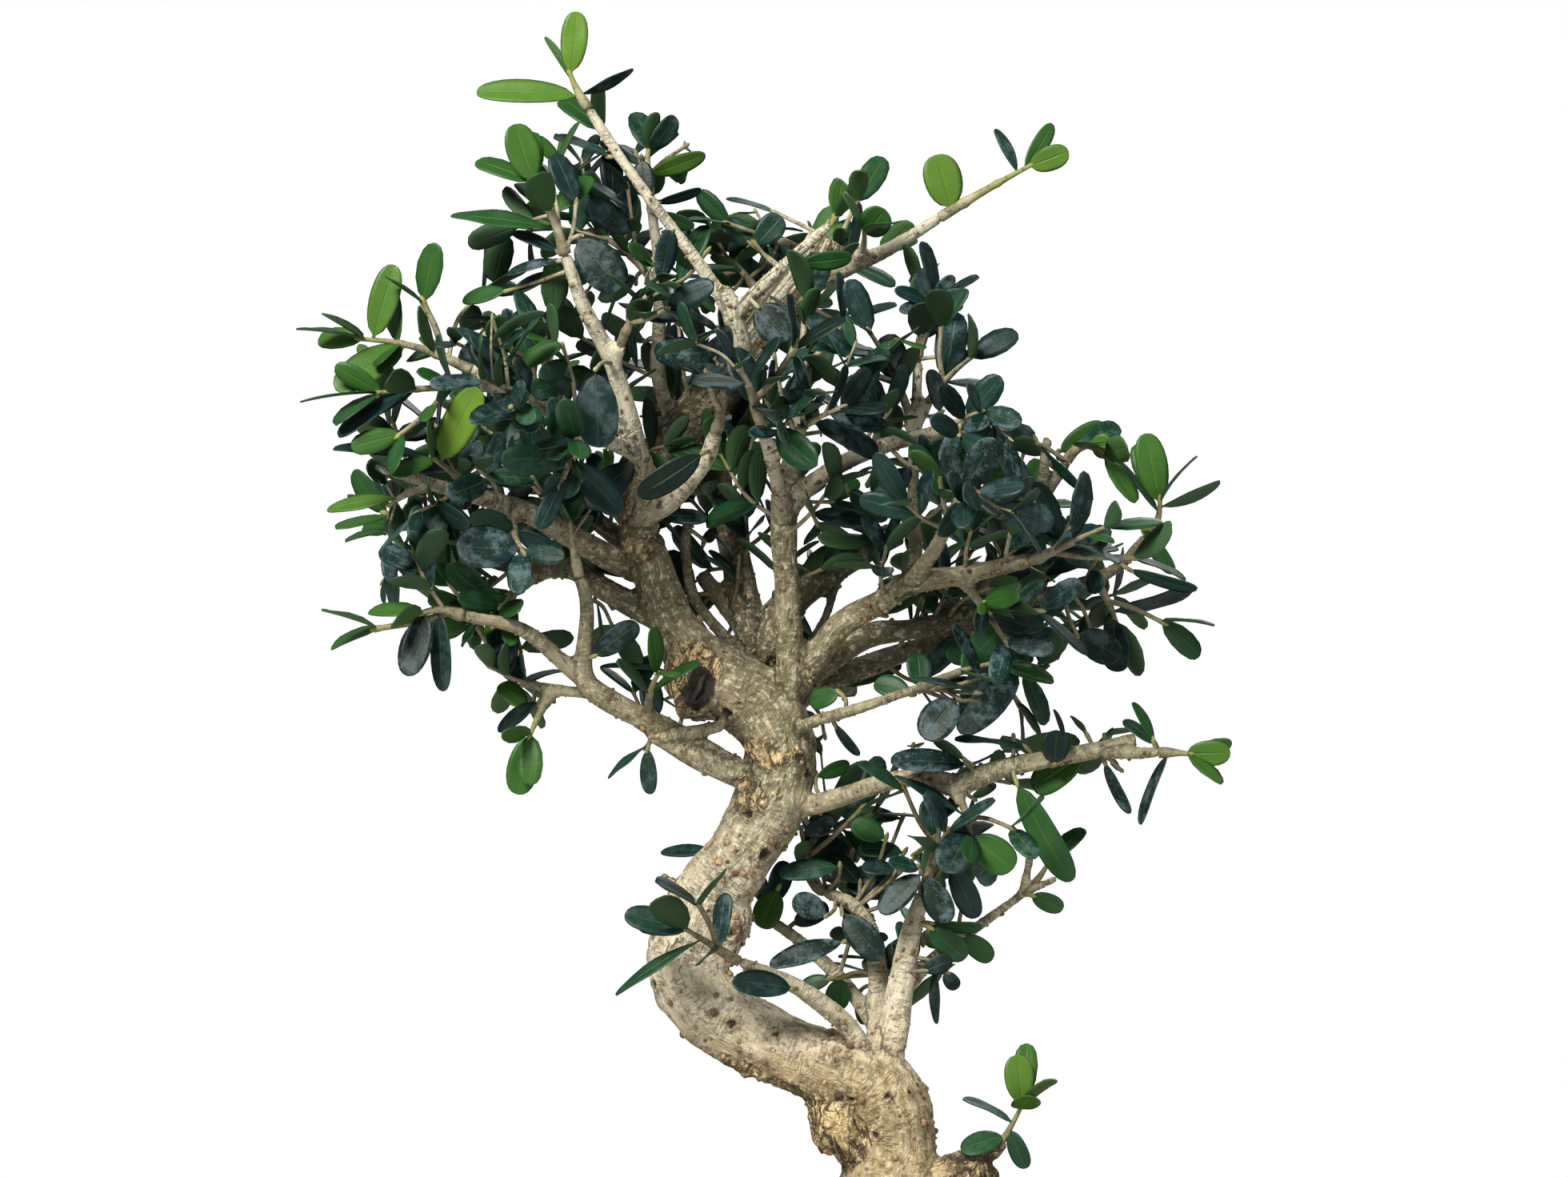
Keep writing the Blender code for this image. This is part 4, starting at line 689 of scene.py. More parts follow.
def layKeyLeaves(name, stem, room):
    leaves = []
    for share, end, width, roll, youth in keyLeaves.get(name, []):
        base = placeAlong(stem, min(share, foliage["lastLeaf"]))[0]
        tip = Vector(end) * mm
        face = facing(base, tip, roll)
        leaves.append(tryLeaf(name, base, tip, width * mm, face, foliage["keyDroop"], room, youth, 8))
    return [leaf for leaf in leaves if leaf]


def layLeaves(name, stem, pairs, draw, room, youth, sizes=1.0, spacing=9.5 * mm):
    leaves = []
    total = pathLength(stem)
    quarter = draw.uniform(0, math.pi)
    for pair in range(pairs + 1):
        share = 1 - (pairs - pair) * spacing / total
        base, aim, _ = placeAlong(stem, min(share, foliage["lastLeaf"]))
        first, second = sideways(aim)
        atTip = pair == pairs
        for side in range(2):
            for attempt in range(foliage["tries"]):
                angle = quarter + pair * math.pi / 2 + side * math.pi
                angle += draw.uniform(-0.4, 0.4) * (1 + attempt)
                out = first * math.cos(angle) + second * math.sin(angle)
                spread = math.radians(draw.uniform(*foliage["tipSpread" if atTip else "spread"]))
                along = aim * math.cos(spread) + out * math.sin(spread) + light * 0.12
                along.normalize()
                length = draw.uniform(*foliage["length"]) * (1 - 0.06 * attempt)
                length *= (0.9 if atTip else 1) * sizes
                width = length * draw.uniform(*foliage["ratio"])
                face = aim + light * draw.uniform(0.3, 1.2) + out * draw.uniform(-0.3, 0.3)
                face = (face - along * face.dot(along)).normalized()
                face = Matrix.Rotation(draw.uniform(-foliage["roll"], foliage["roll"]), 3, along) @ face
                leaf = tryLeaf(name, base, base + along * length, width, face,
                               draw.uniform(*foliage["droop"]), room, youth * (1.3 if atTip else 0.8))
                if leaf:
                    leaves.append(leaf)
                    break
    return leaves


def layFoliage(limbPaths, room):
    for name, path in limbPaths.items():
        room.add("wood", pathTest(path, limbs[name][0]))
    stems, feet = layStems(limbPaths, room)
    draws = {name: random.Random(f"{foliage['seed']} {name}") for name in sprays}
    shoots = {name: laySideShoots(name, stems[name], sprays[name][4], draws[name], room) for name in sprays}
    leaves = {name: layKeyLeaves(name, stems[name], room) for name in sprays}
    for name in sprays:
        if name in bareSprays:
            continue
        youth = sprays[name][5]
        pairs = int((pathLength(stems[name]) - foliage["firstLeaf"]) / foliage["spacing"])
        leaves[name] += layLeaves(name, stems[name], pairs, draws[name], room, youth)
        for shoot in shoots[name]:
            leaves[name] += layLeaves(name, shoot, 0, draws[name], room, youth)
    return stems, feet, shoots, leaves


limbPaths = {name: [(Vector(point[:3]) * mm, point[3] * mm) for point in points]
             for name, (_, points) in limbs.items()}
room = Room()
stems, feet, shoots, leaves = layFoliage(limbPaths, room)
print("shoots laid:", len(stems), "stems,", sum(map(len, leaves.values())), "leaves")

# Leaves and shoots beyond those of the solids, which fill the crown: where the picture has leaves,
# in millimetres on the plane of the trunk, and the gaps between limbs that stay open

masses = {
    "crown": [
        (-75, 336), (-64, 344), (-66, 350), (-60, 361), (-52, 361), (-36, 361), (-28, 365), (-21, 364),
        (-15, 356), (-18, 350), (-22, 343), (-12, 344), (4, 341), (18, 339), (27, 338), (30, 332), (38, 326),
        (47, 325), (50, 318), (48, 306), (47, 298), (49, 292), (62, 290), (70, 286), (66, 278), (74, 270),
        (87, 263), (98, 258), (104, 252), (109, 246), (99, 239), (90, 228), (74, 229), (60, 222), (53, 205),
        (38, 207), (24, 203), (11, 206), (0, 222), (-20, 222), (-24, 212), (-44, 221), (-52, 214),
        (-58, 210), (-66, 214), (-68, 228), (-80, 234), (-93, 241), (-98, 248), (-96, 256), (-93, 265),
        (-97, 274), (-100, 284), (-106, 292), (-104, 304), (-106, 311), (-84, 312), (-76, 314), (-70, 322)],
    "lowLimb": [
        (32, 202), (34, 208), (50, 211), (70, 212), (86, 212), (92, 216), (96, 210), (92, 200), (84, 198),
        (60, 196), (40, 196)],
    "lowTree": [
        (-4, 168), (1, 184), (12, 193), (38, 196), (54, 195), (58, 186), (54, 174), (52, 166), (56, 158),
        (48, 151), (42, 146), (36, 142), (24, 138), (12, 144), (16, 152), (2, 154)],
}
openings = [
    [(-5, 257), (-1, 240), (3, 238), (3, 252)],
    [(-17, 243), (-2, 226), (0, 229), (-14, 243)],
    [(11, 246), (11, 235), (17, 240), (26, 243), (30, 250), (24, 252), (18, 246)],
    [(12, 221), (26, 217), (38, 221), (42, 212), (34, 206), (18, 206)],
    [(-24, 205), (-50, 218), (-44, 226), (-34, 223), (-22, 213)],
    [(20, 325), (36, 331), (36, 313), (30, 308), (22, 314)],
    [(0, 164), (12, 160), (16, 151), (4, 152), (-4, 158)],
    [(-60, 249), (-49, 250), (-43, 241), (-48, 235), (-59, 239)],
]


def inside(spot, outline):
    # counts how often a line to the right crosses the outline
    x, z = spot
    odd = False
    for (x1, z1), (x2, z2) in zip(outline, outline[1:] + outline[:1]):
        if (z1 > z) != (z2 > z) and x < x1 + (z - z1) * (x2 - x1) / (z2 - z1):
            odd = not odd
    return odd


def onPicture(point):
    # where the camera sees a point, on the plane of the trunk
    nearer = studio["camera"][1] / (studio["camera"][1] - point.y)
    x, z = studio["camera"][0] / mm, studio["camera"][2] / mm
    return x + (point.x / mm - x) * nearer, z + (point.z / mm - z) * nearer


def fromPicture(x, z, depth):
    # the point at a depth, in millimetres, that the camera sees at this place
    further = 1 - depth * mm / studio["camera"][1]
    middle, level = studio["camera"][0] / mm, studio["camera"][2] / mm
    return Vector((middle + (x - middle) * further, depth, level + (z - level) * further)) * mm


# stretches of limb that no extra leaf hides: both ends, x and z, and how far back they are
bareLimbs = [
    ((-47, 368), (-11, 318), -12), ((-9, 318), (-4, 298), -6), ((-5, 318), (14, 334), -10),
    ((-48, 328), (-41, 304), -24), ((-36, 294), (-30, 276), -15), ((-9, 298), (6, 326), 17),
    ((20, 326), (48, 342), 5), ((-10, 284), (-24, 266), -12), ((6, 266), (8, 232), -5),
    ((14, 230), (40, 249), -8), ((22, 197), (60, 203), -15), ((60, 203), (90, 208), -20),
    ((-34, 253), (-62, 267), -9), ((-28, 241), (-66, 254), 6), ((40, 249), (64, 254), -22),
    ((16, 228), (48, 239), 5), ((12, 221), (34, 230), 12), ((-14, 214), (-16, 232), -9),
]

# Single leaves of the picture that the solids leave out, by limb: foot x and z, tip x and z, how far
# behind the limb the leaf starts and leans, width, roll and youth

pictureLeaves = {
    "trunk": [
        (-11, 181.5, -25, 181.6, 6, 4, 4.2, 30, 0.05), (-23.5, 226.5, -40, 228.5, -2, 3, 4.4, 60, 0.02)],
    "limb_low_left": [
        (-28, 207.5, -27.5, 195.5, -1, 3, 4.4, 15, 0.05), (-28, 208, -38.5, 200.5, 1, -4, 4, 58, 0.1),
        (-42, 230, -31, 238.5, -2, -3, 6.4, 10, 0.1), (-26.5, 214, -27.5, 224.5, 2, 2, 6, 10, 0.12)],
    "twig_low_left": [(-58, 217, -65, 223.5, 2, 3, 5.5, 10, 0.55), (-55, 219, -66, 212, 3, 2, 5, 30, 0.1)],
    "limb_low_right": [
        (52, 203, 33, 204.5, -3, -3, 7.4, 28, 0.03), (67, 207, 49, 210.8, -1, -3, 4.6, 58, 0.05),
        (73.5, 203, 74, 211.5, -4, -2, 7, 8, 0.02), (81, 205, 68, 197, 3, 3, 8.5, 12, 0.45),
        (86, 204, 92, 190.5, 1, 2, 4, 50, 0.15), (64, 199, 77, 173.5, -3, -2, 7.6, 22, 0.38),
        (14, 200, 22.5, 203.5, 3, 3, 4, 30, 0.3), (76, 209, 74, 217, 1, 2, 3, 60, 0.1),
        (82, 210, 78, 215.5, 1, 2, 3, 55, 0.1)],
    "twig_low_right": [(98.5, 208.5, 94, 219, 0, 2, 3.6, 40, 0.2), (99, 208, 91, 214.5, 1, 3, 4, 30, 0.3)],
    "twig_right_thin": [
        (18.5, 213.5, 24.6, 205, 1, 3, 3.6, 55, 0.1), (20, 221, 12.5, 218.5, 3, 3, 5.6, 10, 0.4),
        (38, 220.5, 28.6, 224, 2, 3, 6, 10, 0.25), (40, 222, 39.5, 231, 3, 3, 6.4, 10, 0.25),
        (49, 220, 41, 210, -4, -5, 9.4, 10, 0.02), (53, 219, 58, 234, -4, -4, 6.5, 30, 0),
        (55, 225, 49, 238, -5, -4, 4.6, 40, 0), (54, 221, 38, 225.5, -5, -2, 4, 55, 0)],
    "low_tree_right": [
        (40.5, 176, 30, 166.5, -4, -4, 7, 15, 0.02), (41.5, 175.5, 46.5, 163.5, -4, -3, 7.4, 20, 0.02),
        (40, 177, 32.5, 179, -3, -4, 5, 30, 0.02), (48, 178.5, 54, 164.5, 0, 2, 6.6, 15, 0.2),
        (42, 162.5, 51.5, 154.5, -2, 2, 6.6, 15, 0.28), (42, 163.5, 55.5, 161.8, 0, 3, 4, 50, 0.25),
        (50, 160.5, 58.5, 154.6, 4, 2, 5.6, 10, 0.4), (44, 153, 43.2, 138.3, -2, 0, 3.8, 50, 0.1),
        (46, 151.4, 49.4, 147, 0, 1, 4, 20, 0.1), (40.5, 151.5, 48, 154.5, -2, 0, 5, 30, 0.05)],
    "low_tree_far": [(67.5, 170.5, 75.8, 167, -2, 0, 4.8, 15, 0.45)],
    "low_tree_centre": [
        (17, 165.5, 8.5, 169.5, -5, -3, 6.8, 10, 0.02), (20.5, 166, 30.4, 155, -8, -5, 7.6, 12, 0.03),
        (14, 174, 5, 185, 5, 2, 6, 15, 0.06), (16, 174.5, 13, 186, 3, 2, 6, 20, 0.12),
        (33, 170, 22, 174, 4, 2, 6.4, 15, 0.06), (25, 173, 17.5, 181.5, 3, 2, 6, 20, 0.05),
        (28, 165, 19.5, 170, 5, 2, 6, 15, 0.08), (23, 181, 12, 184, 4, 2, 6, 15, 0.1),
        (21.5, 159, 2.5, 153.5, -9, -4, 6.4, 25, 0.02), (20, 177.5, 5, 176, -4, -2, 6.4, 25, 0.08),
        (10.5, 185.5, 18.5, 189.5, 0, 2, 4.6, 20, 0.1), (35.5, 189.5, 20.5, 191.8, 2, 2, 5.4, 25, 0.2),
        (31.5, 184.5, 23, 188.5, 0, 0, 6.4, 10, 0.3), (36, 181, 24.5, 182.5, 2, 1, 5.6, 25, 0.25),
        (34, 176.5, 25.5, 178, -2, 0, 5, 25, 0.1), (43, 184.5, 42.5, 194.5, 2, 1, 6, 10, 0.25),
        (20.5, 150, 18.8, 141.8, 2, 2, 6.4, 10, 0.4), (18, 149.5, 10, 147.5, 2, 1, 4.6, 20, 0.25),
        (25, 146.5, 25.8, 138, 3, 1, 3.6, 30, 0.45)],
    "low_tree_left": [
        (8.5, 147, -6.5, 149.5, -3, -4, 7, 12, 0.03)],
    "low_tree_inner": [
        (4.5, 172, 0, 162.5, -2, -2, 7.6, 10, 0.5), (3, 168, 6.5, 179, 2, 2, 6, 15, 0.05),
        (1.5, 167.5, -1.5, 177, 4, 2, 5, 20, 0.08), (8, 163, 17, 168, 2, 2, 5.6, 15, 0.1)],
    "fork_left": [(-37.5, 355, -51, 361.2, 3, 4, 5, 45, 0.15)],
    "fork_right": [(-1, 318, 7, 309.5, -5, -3, 9.6, 8, 0), (10, 328.5, 23, 329.5, -3, 0, 5, 35, 0.35)],
    "limb_top": [
        (-29.5, 354.5, -29, 345.5, -8, -2, 6, 10, 0.03), (-26, 343.5, -14.5, 346.5, 0, 2, 3.2, 55, 0.1),
        (-26, 341, -16.5, 337.5, -2, 0, 4, 40, 0.15)],
    "limb_pale": [
        (-45, 338, -60, 349, -3, -3, 8, 12, 0.1), (-46, 343, -51, 356, 0, 1, 6.4, 15, 0.15),
        (-63, 321.5, -74.6, 319.8, 6, 4, 5, 20, 0.35), (-50, 331, -61.5, 337, 0, 2, 4.6, 35, 0.1),
        (-50, 329, -63.5, 326.5, 1, 2, 4.4, 40, 0.1), (-51, 326, -62, 321.5, 2, 2, 4.6, 30, 0.08),
        (-46, 335, -35, 322, -5, -3, 10.5, 5, 0), (-41, 302, -41, 282.5, -6, -2, 10.8, 8, 0),
        (-31, 279, -43, 267.5, -8, -4, 8.6, 10, 0)],
    "limb_hook": [(-14, 281, -30, 270, -5, -3, 7, -28, 0)],
    "limb_fibrous": [
        (4, 341, -8, 345.5, 0, 2, 3.4, 50, 0.1), (-2, 333, -8.5, 339.5, -4, 0, 6.4, 15, 0.15),
        (-1, 333, 5.5, 340, -4, 0, 7, 10, 0.2)],
    "limb_rosette": [
        (42.5, 318.5, 34, 322, -2, -3, 3.8, 10, 0.08), (42.5, 318, 35, 317, -2, -3, 3.6, 10, 0.08),
        (42.5, 319, 39.5, 326, -2, -2, 3.8, 10, 0.1), (42.8, 319, 48.5, 325, -2, -2, 3.8, 10, 0.1),
        (43, 318.5, 51, 321.5, -2, -3, 3.8, 10, 0.08), (43, 318, 50.5, 317.5, -2, -3, 3.6, 10, 0.08),
        (42, 314, 54, 309.3, 0, 2, 3, 60, 0.1), (45, 305, 53.8, 305.2, -2, -1, 3.4, 35, 0.12),
        (45, 291, 43, 301.8, -3, -2, 4.6, 20, 0.02)],
    "limb_right_rise": [(70, 283, 82.5, 268.5, 0, 1, 3, 60, 0.1), (74.5, 281, 86.3, 288, -2, 0, 6, 10, 0.5)],
    "limb_right_far": [
        (92, 252, 109, 246, -2, 0, 4, 50, 0.1), (96, 262, 103, 250.5, 0, 1, 4.4, 30, 0.3),
        (79, 236, 90, 230, -4, -2, 8.4, 10, 0.03)],
}


def layPictureLeaves():
    # each stands on a short peg of its own, a little nearer or further where another leaf is in the way
    grown = {}
    for limb, wanted in pictureLeaves.items():
        path = limbPaths[limb]
        spots = [placeAlong(path, part / 60) for part in range(61)]
        for x, z, tipX, tipZ, behind, lean, width, roll, youth in wanted:
            start, _, radius = min(spots, key=lambda spot: math.dist(onPicture(spot[0]), (x, z)))
            for shift in (0, -2, 2, -4, 4, -7, 7, -11, 11):
                depth = start.y / mm + behind + shift
                base = fromPicture(x, z, depth)
                tip = fromPicture(tipX, tipZ, depth + lean)
                face = facing(base, tip, roll)
                leaf = tryLeaf("picture", base, tip, width * mm, face, foliage["keyDroop"], room, youth, 8)
                if leaf:
                    thin = min(filling["radius"], radius * 0.6)
                    bend = start.lerp(base, 0.6) - (tip - base).normalized() * mm
                    peg = [(start, thin), (bend, thin * 0.9), (base, thin * 0.8)]
                    grown.setdefault(limb, []).append((peg, [leaf], youth))
                    break
    return grown


keySights = [(Vector((*first, 0)), Vector((*second, 0)), depth * mm) for first, second, depth in bareLimbs]


def keepInSight(leaf):
    base, tip = leaf[:2]
    keySights.append((Vector((*onPicture(base), 0)), Vector((*onPicture(tip), 0)), base.y))


for name in keyLeaves:
    for leaf in leaves[name][:len(keyLeaves[name])]:
        keepInSight(leaf)


def fitsPicture(point):
    margin = filling["margin"]
    if any(not low - margin < part < high + margin for part, low, high in zip(point, *cadBox)):
        return False
    spot = onPicture(point)
    if not any(inside(spot, outline) for outline in masses.values()):
        return False
    if any(inside(spot, gap) for gap in openings):
        return False
    flat = Vector((*spot, 0))
    for start, stop, depth in keySights:
        if point.y < depth + filling["keyDepth"]:
            nearest, share = intersect_point_line(flat, start, stop)
            if -0.2 < share < 1.2 and (nearest - flat).length < filling["keyRoom"]:
                return False
    return True


filling = {
    "spacing": 3.6 * mm,            # between the sprouts on a limb
    "stemSpacing": 4.6 * mm,
    "firstPlace": 15 * mm,          # bare length at a limb's foot
    "length": (8 * mm, 19 * mm),
    "pairSpacing": 5.6 * mm,
    "ratio": (0.36, 0.5),
    "spread": (38, 78),
    "roll": 1.1,
    "radius": 0.6 * mm,
    "clearance": 0.1 * mm,
    "leafSize": 0.95,
    "margin": 1.2 * mm,             # past the solids' box
    "keyRoom": 5.5,                 # kept free in front of the leaves that make the outline
    "keyDepth": 4 * mm,
    "tries": 6,
    "oldShare": 0.74,               # of the sprouts, the rest have younger leaves
    "cell": 2.5,                    # the picture is searched for gaps in cells of this size
    "columns": (-115, 112),
    "rows": (137, 366),
    "gapRounds": 3,
    "gapReach": (4 * mm, 32 * mm),
    "bare": ("trunk", "base_stub", "root_front_left", "root_front_right", "root_left", "root_back",
             "root_right", "fork_stem", "fork_left", "fork_right", "twig_low_right"),
    "bareBelow": {"limb_top_right": 0.9, "limb_pale": 0.35, "limb_low_right": 0.3, "limb_centre": 0.55,
                  "limb_low_left": 0.6, "limb_fibrous": 0.25, "limb_left_front": 0.35,
                  "limb_right_front": 0.5, "limb_right_middle": 0.45, "limb_right_back": 0.4,
                  "twig_right_thin": 0.6, "limb_thin": 0.5, "limb_centre_dark": 0.4},
}


def raiseSprout(centre, radius, tip, draw):
    # a short shoot from a limb to its tip, with its leaves, or nothing where there is no room
    heading = (tip - centre).normalized()
    reach = (tip - centre).length
    thin = min(filling["radius"], radius * 0.6)
    bow = heading.cross(Vector((draw.gauss(0, 1), draw.gauss(0, 1), draw.gauss(0, 1)))) * (0.06 * reach)
    sprout = [(centre, thin), (centre.lerp(tip, 0.5) + bow, thin * 0.9), (tip, thin * 0.75)]
    outside = trimStart(sprout, radius + 0.6 * mm)
    if not fitsPicture(tip) or room.blocked(pathTest(outside, spare=filling["clearance"])):
        return None
    pairs = max(int((reach - radius - 3 * mm) / filling["pairSpacing"]), 0)
    youth = draw.uniform(0, 0.2) if draw.random() < filling["oldShare"] else draw.uniform(0.2, 0.42)
    blades = layLeaves("sprout", sprout, pairs, draw, room, youth, filling["leafSize"],
                       filling["pairSpacing"])
    if len(blades) < 2:
        return None
    room.add("sprout", pathTest(outside))
    return sprout, blades, youth


def growSprout(path, share, draw):
    centre, aim, radius = placeAlong(path, share)
    first, second = sideways(aim)
    for _ in range(filling["tries"]):
        angle = draw.uniform(0, 2 * math.pi)
        out = first * math.cos(angle) + second * math.sin(angle)
        heading = (aim * draw.uniform(0.3, 0.9) + out + light * 0.35).normalized()
        reach = draw.uniform(*filling["length"]) + radius
        sprout = raiseSprout(centre, radius, centre + heading * reach + aim * (0.2 * reach), draw)
        if sprout:
            return sprout
    return None


def pictureCell(point):
    return tuple(int(part // filling["cell"]) for part in onPicture(point))


def markLeaf(covered, leaf):
    base, tip, width, face = leaf[:4]
    across = face.cross((tip - base).normalized()).normalized() * width
    for share in (0.15, 0.35, 0.55, 0.75, 0.92):
        middle = base.lerp(tip, share)
        covered.update(pictureCell(middle + across * side) for side in (-0.4, 0, 0.4))


def fillGaps(sprouts):
    # sprouts towards the places where the picture shows leaves and the tree has nothing yet
    covered = set()
    groups = [sprout[1] for found in [*sprouts.values(), *pictureSprouts.values()] for sprout in found]
    for group in [*leaves.values(), *groups]:
        for leaf in group:
            markLeaf(covered, leaf)
    feetSpots = []
    for limb, path in [*limbPaths.items(), *[(sprays[name][0], stem) for name, stem in stems.items()]]:
        for number in range(int(pathLength(path) / (2 * mm))):
            centre, aim, radius = placeAlong(path, number * 2 * mm / pathLength(path))
            side = aim.cross(Vector((0, 1, 0))) * radius
            covered.update(pictureCell(centre + side * share) for share in (-0.8, 0, 0.8))
            if number % 2 and limb not in filling["bare"]:
                feetSpots.append((limb, centre, radius, onPicture(centre)))
    draw = random.Random("gaps")
    size = filling["cell"]
    low, high = filling["gapReach"]
    columns, rows = [range(int(first / size), int(last / size))
                     for first, last in (filling["columns"], filling["rows"])]
    for _ in range(filling["gapRounds"]):
        for column in columns:
            for row in rows:
                spot = ((column + draw.random()) * size, (row + draw.random()) * size)
                if (column, row) in covered or not any(inside(spot, mass) for mass in masses.values()):
                    continue
                near = sorted(feetSpots, key=lambda foot: math.dist(foot[3], spot))[:10]
                limb, centre, radius, _ = draw.choice(near)
                target = fromPicture(*spot, centre.y / mm + draw.uniform(-4, 18))
                reach = (target - centre).length - 3 * mm
                if not low < reach < high:
                    continue
                tip = centre + (target - centre).normalized() * reach
                sprout = raiseSprout(centre, radius, tip, draw)
                if sprout:
                    sprouts.setdefault(limb, []).append(sprout)
                    for leaf in sprout[1]:
                        markLeaf(covered, leaf)


def fillCrown():
    # sprouts along the limbs and stems, and single leaves between the pairs of the shoots
    foliage.update(clearance=filling["clearance"], filling=True, ratio=filling["ratio"],
                   spread=filling["spread"], roll=filling["roll"])
    sprouts = {}
    for limb, path in limbPaths.items():
        if limb in filling["bare"]:
            continue
        draw = random.Random("sprouts " + limb)
        total = pathLength(path)
        place = max(filling["firstPlace"], filling["bareBelow"].get(limb, 0) * total)
        while place < total - 2 * mm:
            sprouts.setdefault(limb, []).append(growSprout(path, place / total, draw))
            place += filling["spacing"] * draw.uniform(0.8, 1.2)
    for name in sprays:
        if name in bareSprays or name == "spray_base_sprout":
            continue
        draw = random.Random("between " + name)
        for path in [stems[name]] + shoots[name]:
            total = pathLength(path)
            for number in range(int(total / foliage["spacing"])):
                share = (number + 0.5) * foliage["spacing"] / total
                if share > 0.93:
                    break
                part = [placeAlong(path, share)[::2], placeAlong(path, min(share + 0.08, 1))[::2]]
                leaves[name] += layLeaves(name, part, 0, draw, room, sprays[name][5], filling["leafSize"])
        total = pathLength(stems[name])
        place = filling["stemSpacing"]
        while place < total - 3 * mm:
            sprouts.setdefault(sprays[name][0], []).append(growSprout(stems[name], place / total, draw))
            place += filling["stemSpacing"] * draw.uniform(0.8, 1.2)
    grown = {limb: [sprout for sprout in found if sprout] for limb, found in sprouts.items()}
    fillGaps(grown)
    return {limb: found for limb, found in grown.items() if found}


pictureSprouts = layPictureLeaves()
for group in pictureSprouts.values():
    for _, blades, _ in group:
        keepInSight(blades[0])
print("single leaves laid:", sum(map(len, pictureSprouts.values())), "of",
      sum(map(len, pictureLeaves.values())))
sprouts = fillCrown()
print("crown filled:", sum(map(len, sprouts.values())), "sprouts,",
      sum(map(len, leaves.values())) + sum(len(s[1]) for g in sprouts.values() for s in g), "leaves in all")

# Leaf and twig meshes

leafForm = {
    "across": 4,
    "along": (0, 0.06, 0.18, 0.4, 0.65, 0.86, 0.96, 1),     # the rows of a common leaf
    "fineAcross": 6,
    "fineAlong": 12,
    "thickness": 0.5 * mm,
    "petiole": 0.42 * mm,           # half width of the leaf's stalk
    "petioleShare": 0.07,
    "fold": (0.05, 0.22),
    "bend": 0.035,
    "wave": 0.018,
}
twigForm = {"sides": 7, "step": 1.3 * mm, "knuckle": 1.28, "knuckleReach": 1.6 * mm, "bud": 1.9 * mm}


def bladeShare(share):
    # half width of the blade over its widest: a wedge at the stalk, round at the tip
    t = max(0.0, (share - leafForm["petioleShare"]) / (1 - leafForm["petioleShare"]))
    return 1.86 * t ** 0.5 * (1 - t) ** 0.4


def makeLeafPattern(across, rows):
    # one flat leaf: x across from -1 to 1, y along from 0 to 1, z below and above the middle
    bm = bmesh.new()
    uvLayer = bm.loops.layers.uv.new("UVMap")
    bm.verts.layers.float_color.new("leaf")
    count = len(rows) - 1
    bmesh.ops.create_grid(bm, x_segments=across, y_segments=count, size=1)
    bmesh.ops.solidify(bm, geom=bm.faces[:], thickness=1)
    middle = sum(vert.co.z for vert in bm.verts) / len(bm.verts)
    for vert in bm.verts:
        row = min(max(round((vert.co.y + 1) / 2 * count), 0), count)
        vert.co = (vert.co.x, rows[row], vert.co.z - middle)
    bmesh.ops.recalc_face_normals(bm, faces=bm.faces)
    for face in bm.faces:
        face.smooth = True
        for loop in face.loops:
            loop[uvLayer].uv = ((loop.vert.co.x + 1) / 2, loop.vert.co.y)
    pattern = bpy.data.meshes.new("leaf pattern")
    bm.to_mesh(pattern)
    bm.free()
    return pattern


leafPattern = makeLeafPattern(leafForm["across"], leafForm["along"])
fineRows = [(1 - math.cos(math.pi * row / leafForm["fineAlong"])) / 2
            for row in range(leafForm["fineAlong"] + 1)]
finePattern = makeLeafPattern(leafForm["fineAcross"], fineRows)


def addLeaf(bm, leaf, draw, pattern=leafPattern):
    base, tip, width, face, droop, youth = leaf
    length = (tip - base).length
    along = (tip - base) / length
    across = face.cross(along).normalized()
    up = along.cross(across)
    fold = draw.uniform(*leafForm["fold"])
    bend = draw.uniform(-1, 1) * leafForm["bend"]
    wave = draw.uniform(-1, 1) * leafForm["wave"]
    tint = (min(max(youth + draw.gauss(0, 0.07), 0), 1), draw.random(), draw.random())
    layer = bm.verts.layers.float_color["leaf"]
    done = len(bm.verts)
    bm.from_mesh(pattern)
    bm.verts.ensure_lookup_table()
    for vert in bm.verts[done:]:
        x, share, z = vert.co
        half = max(leafForm["petiole"], width / 2 * bladeShare(share))
        lift = (z * leafForm["thickness"] * (1 - 0.6 * x * x)
                + fold * half * abs(x) ** 1.5 - droop * length * share * (share - 0.4)
                + wave * length * math.sin(share * 9) * x)
        lean = bend * length * share * share
        vert.co = base + along * (share * length) + across * (x * half + lean) + up * lift
        vert[layer] = (*tint[:2], 1.0 if z > 0 else 0.0, tint[2])


def smoothPath(path, stepLength):
    # a rounder line through the same points, with its radius
    points = [Vector((*centre, radius)) for centre, radius in path]
    points = [points[0] * 2 - points[1], *points, points[-1] * 2 - points[-2]]
    line = []
    for before, start, stop, after in zip(points, points[1:], points[2:], points[3:]):
        count = max(round((stop - start).length / stepLength), 1)
        for index in range(count):
            t = index / count
            bend = (2 * before - 5 * start + 4 * stop - after) * t ** 2
            twist = (3 * start - before - 3 * stop + after) * t ** 3
            line.append(0.5 * (2 * start + (stop - before) * t + bend + twist))
    line.append(points[-2])
    return [(Vector(point[:3]), max(point[3], 0.2 * mm)) for point in line]


